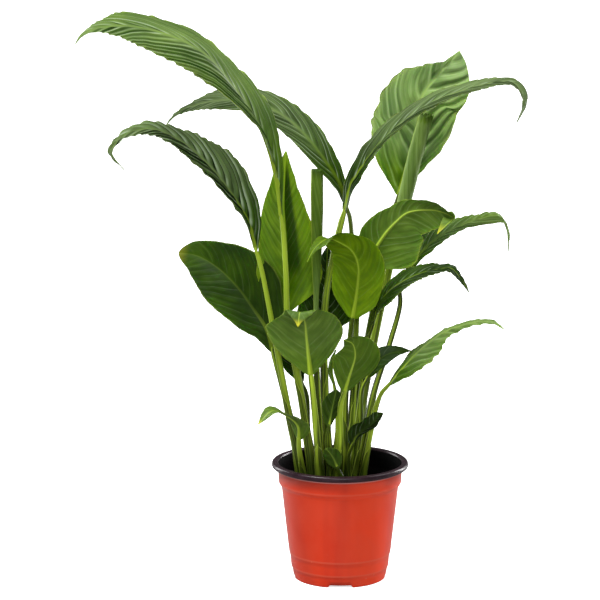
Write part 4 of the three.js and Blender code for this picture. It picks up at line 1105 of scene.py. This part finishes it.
def soilTree():
    tree, given = startTree("soilCrumbs", Float="Density, Smallest, Largest, Flatness", Int="Seed")
    upward = parts(addNode(tree, "GeometryNodeInputNormal").outputs[0])[2]
    spots = addNode(tree, "GeometryNodeDistributePointsOnFaces", {
        "Mesh": given["Geometry"], "Selection": calc("GREATER_THAN", upward, 0.6),
        "Density": given["Density"],
        "Seed": given["Seed"]})
    crumb = addNode(tree, "GeometryNodeMeshIcoSphere", {"Radius": 1.0, "Subdivisions": 1}).outputs["Mesh"]
    here = position(tree)
    crumb = setPosition(crumb, Offset=scaled(here, noise(here, 1.4, 2.0) * 1.6 - 0.8))
    width = randomValue(tree, "FLOAT", {
        "Min": given["Smallest"], "Max": given["Largest"], "Seed": given["Seed"]})
    spin = randomValue(tree, "FLOAT_VECTOR", {"Min": (0, 0, 0), "Max": (6.28, 6.28, 6.28), "Seed": 3})
    scattered = addNode(tree, "GeometryNodeInstanceOnPoints", {
        "Points": spots.outputs["Points"], "Instance": crumb, "Rotation": spin,
        "Scale": packed(width, width, width * given["Flatness"])}).outputs[0]
    return endTree(joined(scattered, given["Geometry"]), given["Material"])


def soilMaterial(mottle):
    look = palette(dark=(14, 10, 8), brown=(40, 30, 22), fleck=(84, 76, 62))
    material, tree, shader = startMaterial("pottingSoil")
    patch = placed(tree, mottle, Patch_Scale=420.0, Grain_Scale=1200.0)
    cells = addNode(tree, "ShaderNodeTexVoronoi", {"Vector": ownPlace(tree), "Scale": 260.0})
    chance = addNode(tree, "ShaderNodeSeparateColor", {0: cells.outputs["Color"]}).outputs[0]
    face = blended(patch["Patches"], look["dark"], look["brown"])
    face = blended(ease(chance, 0.94, 0.96), face, look["fleck"])
    feed(shader, {
        "Base Color": face, "Roughness": 0.92, "Specular IOR Level": 0.2,
        "Normal": bumped(patch["Grain"], 0.8, 0.001)})
    return material


def makeSoil(size, pot, material):
    inset = pot["wall"] + plantSizes["gap"]  # from the pot's outside to the soil
    edge = size["top"] - size["edgeDrop"]
    share = (edge - pot["upperStepHeight"]) / (pot["collarBottom"] - pot["upperStepHeight"])
    spread = pot["bodyTopRadius"] - pot["upperStepRadius"]
    topRadius = pot["upperStepRadius"] + share * spread - inset - size["sideGap"]
    sides = [
        (0, pot["arch"] + inset), (pot["footRadius"] - inset - 1, pot["arch"] + inset),
        (pot["lowerStepRadius"] - inset - 0.6, pot["lowerStepHeight"] + 1.5),
        (pot["upperStepRadius"] - inset - 0.6, pot["upperStepHeight"] + 1.5), (topRadius, edge)]
    shares = [k / size["rings"] for k in range(1, size["rings"] + 1)]
    surface = [(topRadius * (1 - share), size["top"] - size["edgeDrop"] * max(0, 1 - share * 4) ** 2)
               for share in shares]

    def heightAt(index, r, z, angle):  # low lumps on the surface
        if index <= len(sides):
            return z
        x, y = r * math.cos(angle), r * math.sin(angle)
        lump = math.sin(x * 0.31 + 1.3 * math.sin(y * 0.23)) * math.cos(y * 0.37) - 0.6
        return z + size["relief"] * lump * 0.5

    soil = turned("potting_soil", sides + surface, size["segments"], heightAt, lambda index: 0)
    area = math.pi * (topRadius * mm) ** 2
    grown(soil, soilTree(), {
        "Density": size["crumbs"] / area, "Smallest": size["smallest"] * mm,
        "Largest": size["largest"] * mm, "Flatness": size["flatness"], "Seed": 11, "Material": material})
    keepPiece(soil, "soil", "soil")


makeSoil(soilSizes, potSizes, soilMaterial(mottle))
print("soil done")


# ---- floor, light and camera

studio = {
    "floorSize": 60.0, "world": 0.14, "keySun": 3.6, "fillSun": 1.1, "sunSpread": 22,
    "leftLight": 18.0, "rightLight": 30.0, "frontLight": 32.0, "floorBounce": 0.25, "floorGlow": 0.7,
    "target": (0, 0, 0.2),
    "cameraX": -0.038, "cameraY": -2.5, "cameraZ": 0.7454, "tilt": 10.81, "focal": 162.66,
}


def onView(tree):
    return addNode(tree, "ShaderNodeLightPath").outputs["Is Camera Ray"]


def makeFloor():
    mesh = bpy.data.meshes.new("floor")
    half = studio["floorSize"] / 2
    corners = [(-half, -half, 0), (half, -half, 0), (half, half, 0), (-half, half, 0)]
    mesh.from_pydata(corners, [], [(0, 1, 2, 3)])
    floor = inScene("floor", mesh)
    material, tree, shader = startMaterial("paleFloor")
    seen = onView(tree)  # white to look at, a softer bounce
    bounce = studio["floorBounce"]
    feed(shader, {
        "Base Color": blended(seen, (bounce, bounce, bounce, 1), (0.95, 0.95, 0.95, 1)), "Roughness": 0.7,
        "Emission Color": (1, 1, 1, 1), "Emission Strength": seen * studio["floorGlow"]})
    mesh.materials.append(material)


def addLight(name, place, width, height, power):  # a rectangle that faces the plant
    lamp = bpy.data.lights.new(name, "AREA")
    lamp.shape = "RECTANGLE"
    lamp.size = width
    lamp.size_y = height
    lamp.energy = power
    holder = inScene(name, lamp)
    holder.location = place
    holder.rotation_euler = (Vector(studio["target"]) - Vector(place)).to_track_quat("-Z", "Y").to_euler()
    holder.visible_camera = False


def addSun(name, direction, power):  # a very wide sun, as soft as a big overhead softbox
    lamp = bpy.data.lights.new(name, "SUN")
    lamp.energy = power
    lamp.angle = math.radians(studio["sunSpread"])
    inScene(name, lamp).rotation_euler = Vector(direction).to_track_quat("Z", "Y").to_euler()


makeFloor()
world = bpy.data.worlds.new("studio")
world.use_nodes = True
brightness = ease(onView(world.node_tree), 0.0, 1.0, studio["world"], 1.0)
feed(world.node_tree.nodes["Background"], {0: (1, 1, 1, 1), 1: brightness})
bpy.context.scene.world = world
addLight("leftBox", (-1.25, 0.9, 0.5), 0.35, 1.2, studio["leftLight"])
addLight("rightBox", (1.25, 0.9, 0.5), 0.35, 1.2, studio["rightLight"])
addLight("frontBox", (0.05, -2.3, 1.3), 1.4, 0.8, studio["frontLight"])
addSun("keySun", (-0.65, -0.45, 1.1), studio["keySun"])
addSun("fillSun", (0.8, 0.1, 1.0), studio["fillSun"])

lens = bpy.data.cameras.new("camera")
lens.sensor_width = 36
lens.lens = studio["focal"]
camera = inScene("camera", lens)
camera.location = (studio["cameraX"], studio["cameraY"], studio["cameraZ"])
camera.rotation_euler = (math.radians(90 - studio["tilt"]), 0, 0)
bpy.context.scene.camera = camera
bpy.context.scene.view_settings.view_transform = "Standard"
print("studio done")
